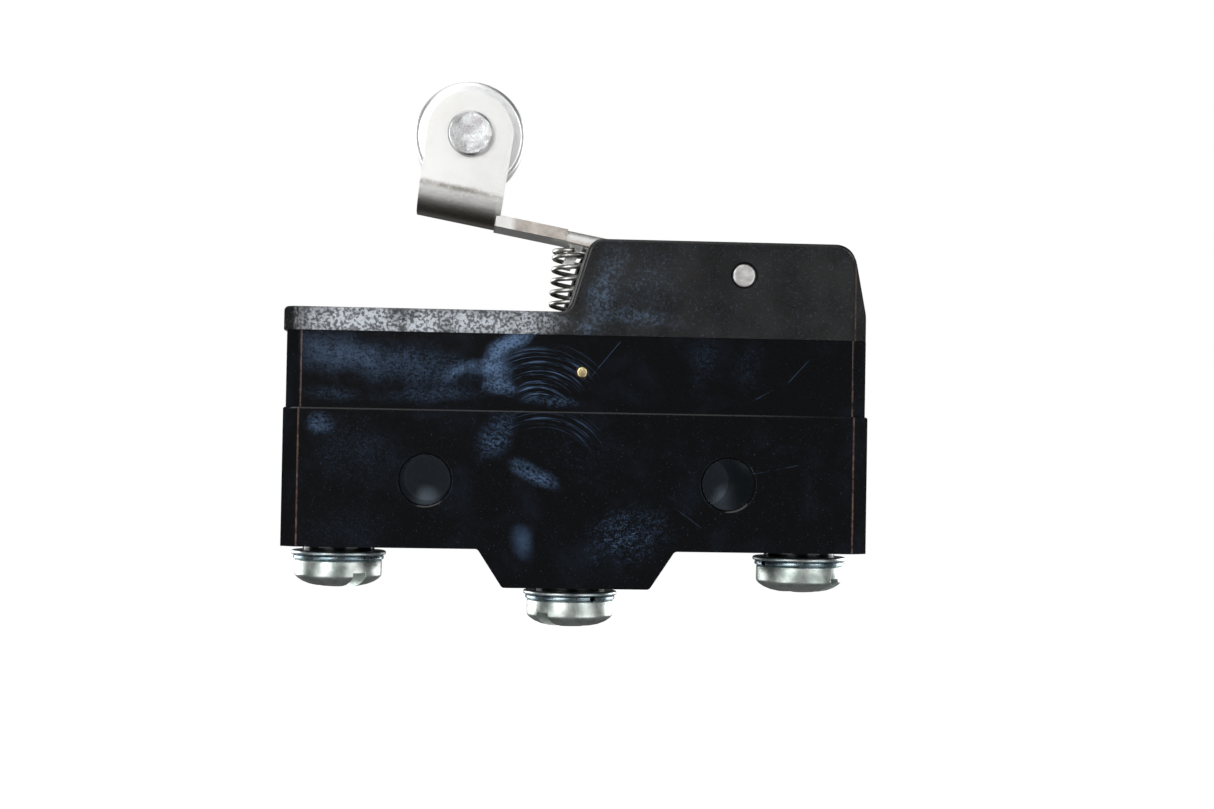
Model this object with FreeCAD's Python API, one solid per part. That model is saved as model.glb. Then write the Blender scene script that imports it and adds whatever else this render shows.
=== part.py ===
import FreeCAD, Part
import math
import os
from FreeCAD import Vector

# Snap action switch with a hinged roller lever.
# Millimetres. +X runs along the body towards the lever's pivot, -Y is the front face, +Z is up.
# The origin lies midway between the two mounting holes, halfway through the body's depth.

# Case: the lower moulding, which holds the mounting holes and the terminals.
BODY_DEPTH = 17.45
CASE_LENGTH = 49.2
CASE_ABOVE_HOLES = 5.87
CASE_BELOW_HOLES = 5.7
FOOT_DROP = 3.2
FOOT_ROOT_WIDTH = 16.5
FOOT_WIDTH = 12.3
FOOT_ROUND = 0.4
MOUNT_SPACING = 25.4
MOUNT_HOLE_LEFT = 4.2
MOUNT_HOLE_RIGHT = 4.36
MOUNT_MOUTH = 0.2
CORNER_CUT_X = 1.3
CORNER_CUT_Y = 1.0
CASE_RIM_BEVEL = 0.12
END_WALL = 1.3
SIDE_WALL = 1.9
FLOOR_OVER_HOLES = 1.4
CHAMBER_ROUND = 0.8

# Cover: the middle moulding, a little smaller than the case all round.
COVER_HEIGHT = 6.43
COVER_INSET = 0.12
COVER_END_INSET = 0.2
RIB_LENGTH = 34.0
RIB_DROP = 1.0
RIB_THICKNESS = 0.8

# Lever housing: the upper moulding, a low ledge and a raised block with a slot for the lever.
HOUSING_OVERHANG = 0.05
HOUSING_INSET = 0.25
LEDGE_HEIGHT = 1.95
BLOCK_HEIGHT = 6.18
BLOCK_FOOT_FROM_PIVOT = 14.76
BLOCK_FACE_LEAN = 1.85
BLOCK_FOOT_ROUND = 1.0
BLOCK_FRONT_ROUND = 1.3
BLOCK_END_STRAIGHT = 2.2
BLOCK_END_LEAN = 1.35
BLOCK_END_ROUND = 1.8
BLOCK_BEND_ROUND = 3.0
LEDGE_END_ROUND = 0.4
HOUSING_EDGE_ROUND = 0.3
SLOT_WIDTH = 6.8
SLOT_END_GAP = 1.0
SLOT_END_ROUND = 1.0

# Pins that lock the mouldings together and carry the lever.
PIVOT_FROM_END = 10.84
PIVOT_BELOW_TOP = 2.82
PIVOT_DIAMETER = 2.0
PIVOT_MOUTH_GAP = 0.14
PIVOT_MOUTH_DEPTH = 0.5
PIN_BEVEL = 0.12
COVER_PIN_X = 0.24
COVER_PIN_BELOW_ROOF = 3.1
COVER_PIN_DIAMETER = 1.0
TONGUE_WIDTH = 3.2
TONGUE_THICKNESS = 1.2
LUG_THICKNESS = 1.5
TONGUE_OVER_PIN = 0.8
TONGUE_ROOT = 0.2

# Lever: one piece of sheet steel, with ears for the roller and flanges for the pivot.
SHEET = 1.0
LEVER_SLOPE = 10.4
LEVER_TRAVEL = 10.4
WEB_OVER_PIVOT = 0.42
ARM_WIDTH = 6.0
FLANGE_START = 15.5
FLANGE_DROP = 2.3
FLANGE_DEEP_START = 6.6
FLANGE_BEND = 1.3
FLANGE_ROUND = 1.5
TAIL_LENGTH = 4.4
TAIL_DROP = 0.6
ARM_LAP = 0.4
PIVOT_WINDOW_GAP = 0.35
EAR_BEHIND_AXIS = 4.0
EAR_LENGTH = 7.2
EAR_BEND = 2.7
EAR_SIDE_GAP = 0.3
ROLLER_REACH = 25.0
ROLLER_OVER_PIVOT = 7.65
EAR_ROUND = 3.72
TONGUE_PAST_SPRING = 0.14
SPRING_TONGUE_LENGTH = 2.2
SPRING_TONGUE_LEAN = 0.55
SPRING_TONGUE_WIDTH = 1.4
SPRING_TONGUE_TIP = 0.85
SPRING_TONGUE_ROOT = 1.2

# Roller and its rivet.
ROLLER_DIAMETER = 9.5
ROLLER_WIDTH = 4.8
ROLLER_BEVEL = 0.25
RIVET_DIAMETER = 2.5
RIVET_HEAD_DIAMETER = 3.9
RIVET_HEAD_HEIGHT = 0.7
RIVET_HEAD_BEVEL = 0.2
RIVET_DIMPLE_DEPTH = 0.42

# Return spring under the lever.
SPRING_DIAMETER = 3.8
SPRING_WIRE = 0.5
SPRING_WIRE_SIDES = 12
SPRING_PITCH = 1.0
SPRING_FROM_PIVOT = 14.31
SPRING_SINK = 0.9
SPRING_SEAT_GAP = 0.1
SPRING_LEAN = 3.0

# Plunger.
PLUNGER_PIN_GAP = 0.34
PLUNGER_DIAMETER = 2.6
PLUNGER_DOME = 4.0
PLUNGER_SHOULDER = 5.2
PLUNGER_SHOULDER_HEIGHT = 0.8
PLUNGER_FOOT = 2.2

# Contact blade, snap spring and fixed contacts.
BLADE_THICKNESS = 0.4
BLADE_WIDTH = 5.6
BLADE_LEG = 1.1
CONTACT_FROM_END = 15.6
CONTACT_DIAMETER = 3.0
CONTACT_HEIGHT = 0.6
CONTACT_BEVEL = 0.2
CONTACT_STEM_SHARE = 0.5
WINDOW_PAST_CONTACT = 3.0
BLADE_TIP = 0.5
BLADE_NECK = 1.0
NOTCH_MOUTH = 0.9
NOTCH_PAST_PIVOT = 0.35
CONTACT_GAP = 1.8
STRIP = 0.8
STRIP_WIDTH = 3.6
SNAP_POST_FROM_END = 16.6
SNAP_POST_WIDTH = 2.2
SNAP_POST_HEIGHT = 1.1
SNAP_STRIP = 0.25
SNAP_BOW = 1.3

# Terminals and their screws.
TERMINAL_FROM_END = 4.45
BOSS_DIAMETER = 6.2
BOSS_HEIGHT = 0.6
NECK_DIAMETER = 5.2
NECK_HEIGHT = 1.9
PLATE_LENGTH = 6.1
PLATE_WIDTH = 5.6
PLATE_HEIGHT = 1.4
THREAD_DIAMETER = 4.0
SHANK_PAST_PLATE = 0.55
SCREW_RELIEF = 1.0
RISER_GAP = 0.3
HEAD_DIAMETER = 7.5
HEAD_HEIGHT = 2.35
HEAD_SIDE = 1.35
HEAD_FLAT_DIAMETER = 4.0
HEAD_SHOULDER = 0.6
DRIVE_WIDTH = 1.2
SLOT_DEPTH = 1.35
CROSS_LENGTH = 4.2
CROSS_DEPTH = 1.7
CLAMP_WASHER_DIAMETER = 8.2
LOCK_WASHER_DIAMETER = 7.8
WASHER_THICKNESS = 0.4
WASHER_PLAY = 0.15
SCREW_ANGLES = {"left": -58.0, "middle": 47.0, "right": -42.0}

# Cutting shapes run past the faces that they cut by this much.
OVERCUT = 1.0

# Clearances.
FIT = 0.03
RUNNING = 0.05
LOOSE = 0.1
TOUCH = 0.05

# Places worked out from the sizes above.
HALF_LENGTH = CASE_LENGTH / 2
HALF_DEPTH = BODY_DEPTH / 2
CASE_TOP = CASE_ABOVE_HOLES
CASE_BOTTOM = -CASE_BELOW_HOLES
FOOT_BOTTOM = CASE_BOTTOM - FOOT_DROP
CHAMBER_FLOOR = max(MOUNT_HOLE_LEFT, MOUNT_HOLE_RIGHT) / 2 + FLOOR_OVER_HOLES
CHAMBER_HALF_LENGTH = HALF_LENGTH - END_WALL
CHAMBER_HALF_DEPTH = HALF_DEPTH - SIDE_WALL
COVER_TOP = CASE_TOP + COVER_HEIGHT
COVER_HALF_DEPTH = HALF_DEPTH - COVER_INSET
LEDGE_TOP = COVER_TOP + LEDGE_HEIGHT
BLOCK_TOP = LEDGE_TOP + BLOCK_HEIGHT
COVER_PIN_Z = COVER_TOP - COVER_PIN_BELOW_ROOF
PIVOT_X = HALF_LENGTH - PIVOT_FROM_END
PIVOT = Vector(PIVOT_X, 0, BLOCK_TOP - PIVOT_BELOW_TOP)
BLOCK_FOOT_X = PIVOT_X - BLOCK_FOOT_FROM_PIVOT
SPRING_X = PIVOT_X - SPRING_FROM_PIVOT
TONGUE_REACH = SPRING_FROM_PIVOT + TONGUE_PAST_SPRING
EAR_NEAR = ROLLER_REACH - EAR_BEHIND_AXIS
CONTACT_X = CONTACT_FROM_END - HALF_LENGTH
SNAP_POST_X = HALF_LENGTH - SNAP_POST_FROM_END
TERMINAL_X = HALF_LENGTH - TERMINAL_FROM_END
WEB_TOP = WEB_OVER_PIVOT + SHEET
SLOPE = math.radians(LEVER_SLOPE)


def box(x0, x1, y0, y1, z0, z1):
    return Part.makeBox(x1 - x0, y1 - y0, z1 - z0, Vector(x0, y0, z0))


def post(diameter, x, y, z0, z1):
    return Part.makeCylinder(diameter / 2, z1 - z0, Vector(x, y, z0), Vector(0, 0, 1))


def cross_pin(diameter, x, z, y0, y1):
    return Part.makeCylinder(diameter / 2, y1 - y0, Vector(x, y0, z), Vector(0, 1, 0))


def hole(diameter, x, y, z0, z1):
    """An upright cutting cylinder that runs past z0 and z1."""
    return post(diameter, x, y, z0 - OVERCUT, z1 + OVERCUT)


def cross_hole(diameter, x, z, half_length):
    """A cutting cylinder along Y that runs past both faces of a piece half_length to each side."""
    reach = half_length + OVERCUT
    return cross_pin(diameter, x, z, -reach, reach)


def band(y0, y1, side):
    """The two values of y between y0 and y1 on one side of the middle, the lower first."""
    return sorted((side * y0, side * y1))


def rounded_outline(corners):
    """A closed wire in the XZ plane. Each corner is (x, z, radius), and radius 0 leaves it sharp."""
    count = len(corners)
    spots = [Vector(x, 0, z) for x, z, radius in corners]
    starts, ends, arcs = [], [], []
    for i, (x, z, radius) in enumerate(corners):
        here = spots[i]
        if radius == 0:
            starts.append(here)
            ends.append(here)
            arcs.append(None)
            continue
        before = (spots[i - 1] - here).normalize()
        after = (spots[(i + 1) % count] - here).normalize()
        half_turn = before.getAngle(after) / 2
        back = radius / math.tan(half_turn)
        middle = (before + after).normalize()
        centre = here + middle * (radius / math.sin(half_turn))
        starts.append(here + before * back)
        ends.append(here + after * back)
        arcs.append(Part.Arc(starts[-1], centre - middle * radius, ends[-1]).toShape())
    edges = []
    for i in range(count):
        if arcs[i] is not None:
            edges.append(arcs[i])
        following = starts[(i + 1) % count]
        if ends[i].distanceToPoint(following) > 1e-6:
            edges.append(Part.LineSegment(ends[i], following).toShape())
    return Part.Wire(edges)


def slab(corners, y0, y1):
    """The outline of rounded corners, extruded from y0 to y1."""
    face = Part.Face(rounded_outline(corners))
    face.translate(Vector(0, y0, 0))
    return face.extrude(Vector(0, y1 - y0, 0))


def without_corners(solid, x0, x1, half_depth, z0, z1):
    """Cuts the four upright corners of a moulding that runs from x0 to x1."""
    past_x = OVERCUT * CORNER_CUT_X / CORNER_CUT_Y
    past_y = OVERCUT * CORNER_CUT_Y / CORNER_CUT_X
    for x, towards in ((x0, 1), (x1, -1)):
        for side in (-1, 1):
            corner = Vector(x - towards * OVERCUT, side * (half_depth + OVERCUT), z0 - OVERCUT)
            along_face = Vector(x + towards * (CORNER_CUT_X + past_x), corner.y, corner.z)
            along_end = Vector(corner.x, side * (half_depth - CORNER_CUT_Y - past_y), corner.z)
            wedge = Part.Face(Part.makePolygon([corner, along_face, along_end, corner]))
            solid = solid.cut(wedge.extrude(Vector(0, 0, z1 - z0 + 2 * OVERCUT)))
    return solid


def edges_at_height(solid, z):
    return [e for e in solid.Edges if max(abs(e.BoundBox.ZMin - z), abs(e.BoundBox.ZMax - z)) < 1e-5]


def edges_on_faces(solid, half_depth, above):
    """The edges in the front and back faces, apart from those at the height given or below."""
    found = []
    for e in solid.Edges:
        b = e.BoundBox
        flat = abs(b.YMax - b.YMin) < 1e-5 and abs(abs(b.YMin) - half_depth) < 1e-5
        if flat and b.ZMax > above + 1e-5:
            found.append(e)
    return found


def chamber(z0, z1, grow=0.0):
    """The space that holds the contacts, with round upright corners."""
    length = CHAMBER_HALF_LENGTH + grow
    depth = CHAMBER_HALF_DEPTH + grow
    block = box(-length, length, -depth, depth, z0, z1)
    upright = [e for e in block.Edges if e.BoundBox.ZMax - e.BoundBox.ZMin > (z1 - z0) / 2]
    return block.makeFillet(CHAMBER_ROUND, upright)


# Terminals. Each is a threaded neck in a boss of the case, a plate above it and a riser into the chamber.
TERMINALS = {
    "left": (-TERMINAL_X, CASE_BOTTOM - BOSS_HEIGHT, -1),
    "middle": (0.0, FOOT_BOTTOM - BOSS_HEIGHT, -1),
    "right": (TERMINAL_X, CASE_BOTTOM - BOSS_HEIGHT, 1),
}
RISER_OFFSET = THREAD_DIAMETER / 2 + RISER_GAP


def terminal_root(place, riser_top, grow=0.0):
    """A terminal's neck, plate and riser. Grown by the fit, it is the pocket that the case needs."""
    x, seat, side = TERMINALS[place]
    plate_bottom = seat + NECK_HEIGHT
    plate_top = plate_bottom + PLATE_HEIGHT
    near = x + side * RISER_OFFSET
    far = near + side * STRIP
    inner = far - side * PLATE_LENGTH
    neck = post(NECK_DIAMETER + 2 * grow, x, 0, seat - grow, plate_bottom + PLATE_HEIGHT / 2)
    half_plate = PLATE_WIDTH / 2 + grow
    half_strip = STRIP_WIDTH / 2 + grow
    x0, x1 = sorted((inner, far))
    plate = box(x0 - grow, x1 + grow, -half_plate, half_plate, plate_bottom - grow, plate_top + grow)
    x0, x1 = sorted((near, far))
    riser = box(x0 - grow, x1 + grow, -half_strip, half_strip, plate_bottom, riser_top)
    return neck.fuse([plate, riser])


def threaded(terminal, place):
    x, seat = TERMINALS[place][:2]
    return terminal.cut(hole(THREAD_DIAMETER, x, 0, seat, seat + NECK_HEIGHT + PLATE_HEIGHT))


# The contact blade turns on its rounded end, which sits in a notch of the right terminal's riser.
RISER_RIGHT = TERMINAL_X + RISER_OFFSET
NO_STRIP_TOP = CHAMBER_FLOOR + STRIP
NO_CONTACT_TOP = NO_STRIP_TOP + CONTACT_HEIGHT
BLADE_LOW = NO_CONTACT_TOP + TOUCH + CONTACT_HEIGHT + BLADE_THICKNESS / 2
BLADE_HIGH = BLADE_LOW + CONTACT_GAP
NC_CONTACT_BOTTOM = BLADE_HIGH + BLADE_THICKNESS / 2 + CONTACT_HEIGHT + TOUCH
NC_STRIP_BOTTOM = NC_CONTACT_BOTTOM + CONTACT_HEIGHT
ROOF = NC_STRIP_BOTTOM + STRIP
PLUNGER_X = PIVOT_X + PIVOT_DIAMETER / 2 + PLUNGER_PIN_GAP + PLUNGER_DIAMETER / 2
BLADE_PIVOT = Vector(RISER_RIGHT + BLADE_THICKNESS / 2, 0, BLADE_HIGH)
BLADE_REACH = BLADE_PIVOT.x - CONTACT_X
BLADE_SWING = math.asin(CONTACT_GAP / BLADE_REACH)
PLUNGER_TRAVEL = (BLADE_PIVOT.x - PLUNGER_X) * math.sin(BLADE_SWING)

# The moving contact leans with the lowered blade, so the fixed contact under it stands back by that lean.
CONTACT_LEAN = CONTACT_DIAMETER / 2 * math.sin(BLADE_SWING)


def case():
    root = FOOT_ROOT_WIDTH / 2
    tip = FOOT_WIDTH / 2
    outline = [
        (-HALF_LENGTH, CASE_TOP, 0), (-HALF_LENGTH, CASE_BOTTOM, 0),
        (-root, CASE_BOTTOM, FOOT_ROUND), (-tip, FOOT_BOTTOM, FOOT_ROUND),
        (tip, FOOT_BOTTOM, FOOT_ROUND), (root, CASE_BOTTOM, FOOT_ROUND),
        (HALF_LENGTH, CASE_BOTTOM, 0), (HALF_LENGTH, CASE_TOP, 0),
    ]
    solid = slab(outline, -HALF_DEPTH, HALF_DEPTH)
    solid = without_corners(solid, -HALF_LENGTH, HALF_LENGTH, HALF_DEPTH, FOOT_BOTTOM, CASE_TOP)
    solid = solid.makeChamfer(CASE_RIM_BEVEL, edges_at_height(solid, CASE_TOP))
    for place in TERMINALS:
        x, seat = TERMINALS[place][:2]
        solid = solid.fuse(post(BOSS_DIAMETER, x, 0, seat, seat + BOSS_HEIGHT + FOOT_ROUND))
    solid = solid.cut(chamber(CHAMBER_FLOOR, CASE_TOP + OVERCUT))
    for side in (-1, 1):
        solid = solid.fuse(case_tongue(side))
    for x, diameter in ((-MOUNT_SPACING / 2, MOUNT_HOLE_LEFT), (MOUNT_SPACING / 2, MOUNT_HOLE_RIGHT)):
        solid = solid.cut(cross_hole(diameter, x, 0, HALF_DEPTH))
        for side in (-1, 1):
            mouth = Part.makeCone(diameter / 2, diameter / 2 + MOUNT_MOUTH, MOUNT_MOUTH,
                                  Vector(x, side * (HALF_DEPTH - MOUNT_MOUTH), 0), Vector(0, side, 0))
            solid = solid.cut(mouth)
    for place in TERMINALS:
        x, seat = TERMINALS[place][:2]
        solid = solid.cut(terminal_root(place, CHAMBER_FLOOR + TOUCH, FIT))
        if place != "middle":
            solid = solid.cut(riser_slot(place))
        plate_top = seat + NECK_HEIGHT + PLATE_HEIGHT
        relief = THREAD_DIAMETER + 2 * LOOSE
        solid = solid.cut(post(relief, x, 0, plate_top - PLATE_HEIGHT / 2, plate_top + SCREW_RELIEF))
    return solid.cut(cover_pin_hole())


def cover_pin_hole():
    return cross_hole(COVER_PIN_DIAMETER + 2 * FIT, COVER_PIN_X, COVER_PIN_Z, HALF_DEPTH)


def riser_slot(place):
    """The slot in the end wall beside a riser, up to the top of the mechanism."""
    x, seat, side = TERMINALS[place]
    near = x + side * RISER_OFFSET
    far = near + side * (STRIP + FIT)
    half_strip = STRIP_WIDTH / 2 + FIT
    return box(min(near, far), max(near, far), -half_strip, half_strip, seat + NECK_HEIGHT, ROOF)


TONGUE_OUTER = CHAMBER_HALF_DEPTH - LOOSE - LUG_THICKNESS - LOOSE


def case_tongue(side):
    """An upright tongue on the chamber's floor, which the cover's pin passes through."""
    y0, y1 = band(TONGUE_OUTER - TONGUE_THICKNESS, TONGUE_OUTER, side)
    top = min(COVER_PIN_Z + COVER_PIN_DIAMETER / 2 + TONGUE_OVER_PIN, ROOF) - LOOSE
    half = TONGUE_WIDTH / 2
    return box(COVER_PIN_X - half, COVER_PIN_X + half, y0, y1, CHAMBER_FLOOR - TONGUE_ROOT, top)


def housing_lug(side, grow=0.0):
    """A lug of the lever housing that hangs through the cover's roof to its pin."""
    outer = CHAMBER_HALF_DEPTH - LOOSE
    y0, y1 = band(outer - LUG_THICKNESS - grow, outer + grow, side)
    bottom = COVER_PIN_Z - COVER_PIN_DIAMETER / 2 - TONGUE_OVER_PIN
    half = TONGUE_WIDTH / 2 + grow
    return box(COVER_PIN_X - half, COVER_PIN_X + half, y0, y1, bottom - grow, COVER_TOP + TONGUE_ROOT)


def cover():
    half = HALF_LENGTH - COVER_END_INSET
    solid = box(-half, half, -COVER_HALF_DEPTH, COVER_HALF_DEPTH, CASE_TOP, COVER_TOP)
    solid = without_corners(solid, -half, half, COVER_HALF_DEPTH, CASE_TOP, COVER_TOP)
    solid = solid.cut(chamber(CASE_TOP - OVERCUT, ROOF))
    rib_outer = CHAMBER_HALF_DEPTH - LOOSE
    rib_inner = rib_outer - RIB_THICKNESS
    for side in (-1, 1):
        y0, y1 = band(rib_inner, CHAMBER_HALF_DEPTH + SIDE_WALL / 2, side)
        rail = box(-RIB_LENGTH / 2, RIB_LENGTH / 2, y0, y1, CASE_TOP, CASE_TOP + RIB_DROP)
        y0, y1 = band(rib_inner, rib_outer, side)
        rib = box(-RIB_LENGTH / 2, RIB_LENGTH / 2, y0, y1, CASE_TOP - RIB_DROP, CASE_TOP + RIB_DROP)
        solid = solid.fuse([rail, rib])
    for side in (-1, 1):
        solid = solid.cut(housing_lug(side, LOOSE))
    for place in ("left", "right"):
        solid = solid.cut(riser_slot(place))
    solid = solid.cut(hole(PLUNGER_DIAMETER + 2 * RUNNING, PLUNGER_X, 0, ROOF, COVER_TOP))
    return solid.cut(cover_pin_hole())


def lever_housing():
    x0 = -HALF_LENGTH - HOUSING_OVERHANG
    x1 = HALF_LENGTH - HOUSING_INSET
    outline = [
        (x0, COVER_TOP, 0), (x0, LEDGE_TOP, LEDGE_END_ROUND),
        (BLOCK_FOOT_X, LEDGE_TOP, BLOCK_FOOT_ROUND),
        (BLOCK_FOOT_X + BLOCK_FACE_LEAN, BLOCK_TOP, BLOCK_FRONT_ROUND),
        (x1 - BLOCK_END_LEAN, BLOCK_TOP, BLOCK_END_ROUND),
        (x1, COVER_TOP + BLOCK_END_STRAIGHT, BLOCK_BEND_ROUND), (x1, COVER_TOP, 0),
    ]
    solid = slab(outline, -HALF_DEPTH, HALF_DEPTH)
    solid = solid.makeFillet(HOUSING_EDGE_ROUND, edges_on_faces(solid, HALF_DEPTH, COVER_TOP))
    solid = without_corners(solid, x0, x1, HALF_DEPTH, COVER_TOP, BLOCK_TOP)
    slot_end = PIVOT_X + TAIL_LENGTH + SLOT_END_GAP
    half_slot = SLOT_WIDTH / 2
    slot_start = BLOCK_FOOT_X - BLOCK_FOOT_ROUND
    slot = box(slot_start, slot_end, -half_slot, half_slot, LEDGE_TOP, BLOCK_TOP + OVERCUT)
    upright = [e for e in slot.Edges if e.BoundBox.ZLength > BLOCK_HEIGHT]
    end_corners = [e for e in upright if e.BoundBox.XMin > slot_end - TOUCH]
    solid = solid.cut(slot.makeFillet(SLOT_END_ROUND, end_corners))
    well = post(SPRING_DIAMETER + 4 * LOOSE, SPRING_X, 0, LEDGE_TOP - SPRING_SINK, LEDGE_TOP + OVERCUT)
    solid = solid.cut(well)
    solid = solid.cut(hole(PLUNGER_DIAMETER + 4 * LOOSE, PLUNGER_X, 0, COVER_TOP, LEDGE_TOP))
    solid = solid.cut(cross_hole(PIVOT_DIAMETER + 2 * FIT, PIVOT.x, PIVOT.z, HALF_DEPTH))
    for side in (-1, 1):
        y0, y1 = band(HALF_DEPTH - PIVOT_MOUTH_DEPTH, HALF_DEPTH + OVERCUT, side)
        solid = solid.cut(cross_pin(PIVOT_DIAMETER + 2 * PIVOT_MOUTH_GAP, PIVOT.x, PIVOT.z, y0, y1))
    for side in (-1, 1):
        solid = solid.fuse(housing_lug(side))
    return solid.cut(cover_pin_hole())


def rims_of(solid):
    """The edges that lie flat across Y, which are the rims of a pin or a roller."""
    return [e for e in solid.Edges if e.BoundBox.YLength < 1e-5]


def bevelled_pin(diameter, x, z, half_length):
    pin = cross_pin(diameter, x, z, -half_length, half_length)
    return pin.makeChamfer(PIN_BEVEL, rims_of(pin))


def place_lever(shape):
    """Turns a shape drawn round the pivot with the arm level, and sets it in its rest place."""
    shape.rotate(Vector(0, 0, 0), Vector(0, 1, 0), LEVER_SLOPE)
    shape.translate(PIVOT)
    return shape


EAR_HALF_WIDTH = ROLLER_WIDTH / 2 + EAR_SIDE_GAP + SHEET


def bent_channel(x0, x1, half_width, bend, height, opens):
    """Sheet bent to a U along X, its web level with the arm. Its walls go up for opens 1, down for -1."""
    base = WEB_OVER_PIVOT if opens > 0 else WEB_TOP

    def bar(inset, past):
        near = base + opens * inset
        z0, z1 = sorted((near, base + opens * (height + past)))
        block = box(x0 - past, x1 + past, inset - half_width, half_width - inset, z0, z1)
        along = [e for e in block.Edges if e.BoundBox.XLength > x1 - x0 - TOUCH]
        bends = [e for e in along if abs(e.BoundBox.ZMin - near) < 1e-5]
        return block.makeFillet(bend - inset, bends)

    return bar(0.0, 0.0).cut(bar(SHEET, OVERCUT))


def roller_bracket():
    """The two ears and the web between them."""
    ear_top = ROLLER_OVER_PIVOT + EAR_ROUND
    left = -ROLLER_REACH - EAR_ROUND
    right = -ROLLER_REACH + EAR_ROUND
    almost_round = EAR_ROUND * 0.999
    half = EAR_HALF_WIDTH + OVERCUT
    trough = bent_channel(left - OVERCUT, right + OVERCUT, EAR_HALF_WIDTH, EAR_BEND, ear_top, 1)
    outline = slab([
        (-EAR_NEAR, WEB_OVER_PIVOT - OVERCUT, 0), (-EAR_NEAR - EAR_LENGTH, WEB_OVER_PIVOT - OVERCUT, 0),
        (left, ROLLER_OVER_PIVOT, 0), (left, ear_top, almost_round),
        (right, ear_top, almost_round), (right, ROLLER_OVER_PIVOT, 0),
    ], -half, half)
    return trough.common(outline)


def pivot_flanges():
    """The arm's end, folded down at both sides to reach the pivot."""
    half = ARM_WIDTH / 2 + OVERCUT
    channel = bent_channel(-FLANGE_START, TAIL_LENGTH, ARM_WIDTH / 2, FLANGE_BEND, WEB_TOP + FLANGE_DROP, -1)
    outline = slab([
        (-FLANGE_START, WEB_TOP + OVERCUT, 0), (-FLANGE_START, WEB_OVER_PIVOT, 0),
        (-FLANGE_DEEP_START, 0, FLANGE_ROUND), (-FLANGE_DROP, -FLANGE_DROP, FLANGE_ROUND),
        (FLANGE_DROP, -FLANGE_DROP, FLANGE_ROUND), (TAIL_LENGTH, WEB_OVER_PIVOT - TAIL_DROP, 0),
        (TAIL_LENGTH, WEB_TOP + OVERCUT, 0),
    ], -half, half)
    return channel.common(outline)


def spring_tongue():
    """The tongue lanced from the arm and bent down into the return spring."""
    root = WEB_OVER_PIVOT + SHEET / 2
    tip = WEB_OVER_PIVOT - SPRING_TONGUE_LENGTH
    tip_x = -TONGUE_REACH - SPRING_TONGUE_LEAN
    half = SPRING_TONGUE_WIDTH / 2
    return slab([
        (-TONGUE_REACH, root, 0), (tip_x, tip, 0), (tip_x + SPRING_TONGUE_TIP, tip, 0),
        (-TONGUE_REACH + SPRING_TONGUE_ROOT, root, 0),
    ], -half, half)


def lever():
    half_arm = ARM_WIDTH / 2
    arm = box(-EAR_NEAR - ARM_LAP, ARM_LAP - FLANGE_START, -half_arm, half_arm, WEB_OVER_PIVOT, WEB_TOP)
    solid = roller_bracket().fuse([arm, pivot_flanges(), spring_tongue()])
    lance_start = SPRING_TONGUE_ROOT - TONGUE_REACH
    lance_half = SPRING_TONGUE_WIDTH / 2 + LOOSE
    below = WEB_OVER_PIVOT - OVERCUT
    above = WEB_TOP + OVERCUT
    lance = box(lance_start, lance_start + SPRING_TONGUE_LENGTH, -lance_half, lance_half, below, above)
    pin_half = PIVOT_DIAMETER / 2 + PIVOT_WINDOW_GAP
    window = box(-pin_half, pin_half, SHEET - half_arm, half_arm - SHEET, below, above)
    solid = solid.cut(lance).cut(window)
    solid = solid.cut(cross_hole(PIVOT_DIAMETER + 2 * RUNNING, 0, 0, half_arm))
    solid = solid.cut(cross_hole(RIVET_DIAMETER + 2 * FIT, -ROLLER_REACH, ROLLER_OVER_PIVOT, EAR_HALF_WIDTH))
    return place_lever(solid)


def roller():
    half = ROLLER_WIDTH / 2
    wheel = cross_pin(ROLLER_DIAMETER, -ROLLER_REACH, ROLLER_OVER_PIVOT, -half, half)
    wheel = wheel.makeChamfer(ROLLER_BEVEL, rims_of(wheel))
    bore = RIVET_DIAMETER + 2 * RUNNING
    return place_lever(wheel.cut(cross_hole(bore, -ROLLER_REACH, ROLLER_OVER_PIVOT, half)))


def roller_rivet():
    solid = cross_pin(RIVET_DIAMETER, -ROLLER_REACH, ROLLER_OVER_PIVOT, -EAR_HALF_WIDTH, EAR_HALF_WIDTH)
    for side in (-1, 1):
        outwards = Vector(0, side, 0)
        face = Vector(-ROLLER_REACH, side * EAR_HALF_WIDTH, ROLLER_OVER_PIVOT)
        head = Part.makeCylinder(RIVET_HEAD_DIAMETER / 2, RIVET_HEAD_HEIGHT, face, outwards)
        outer = [e for e in rims_of(head) if abs(e.BoundBox.YMin) > EAR_HALF_WIDTH + RIVET_HEAD_HEIGHT / 2]
        head = head.makeChamfer(RIVET_HEAD_BEVEL, outer)
        tip = face + outwards * (RIVET_HEAD_HEIGHT - RIVET_DIMPLE_DEPTH)
        dimple_radius = RIVET_HEAD_DIAMETER / 2 - RIVET_HEAD_BEVEL
        dimple = Part.makeCone(0, dimple_radius, RIVET_DIMPLE_DEPTH, tip, outwards)
        solid = solid.fuse(head.cut(dimple))
    return place_lever(solid)


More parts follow.
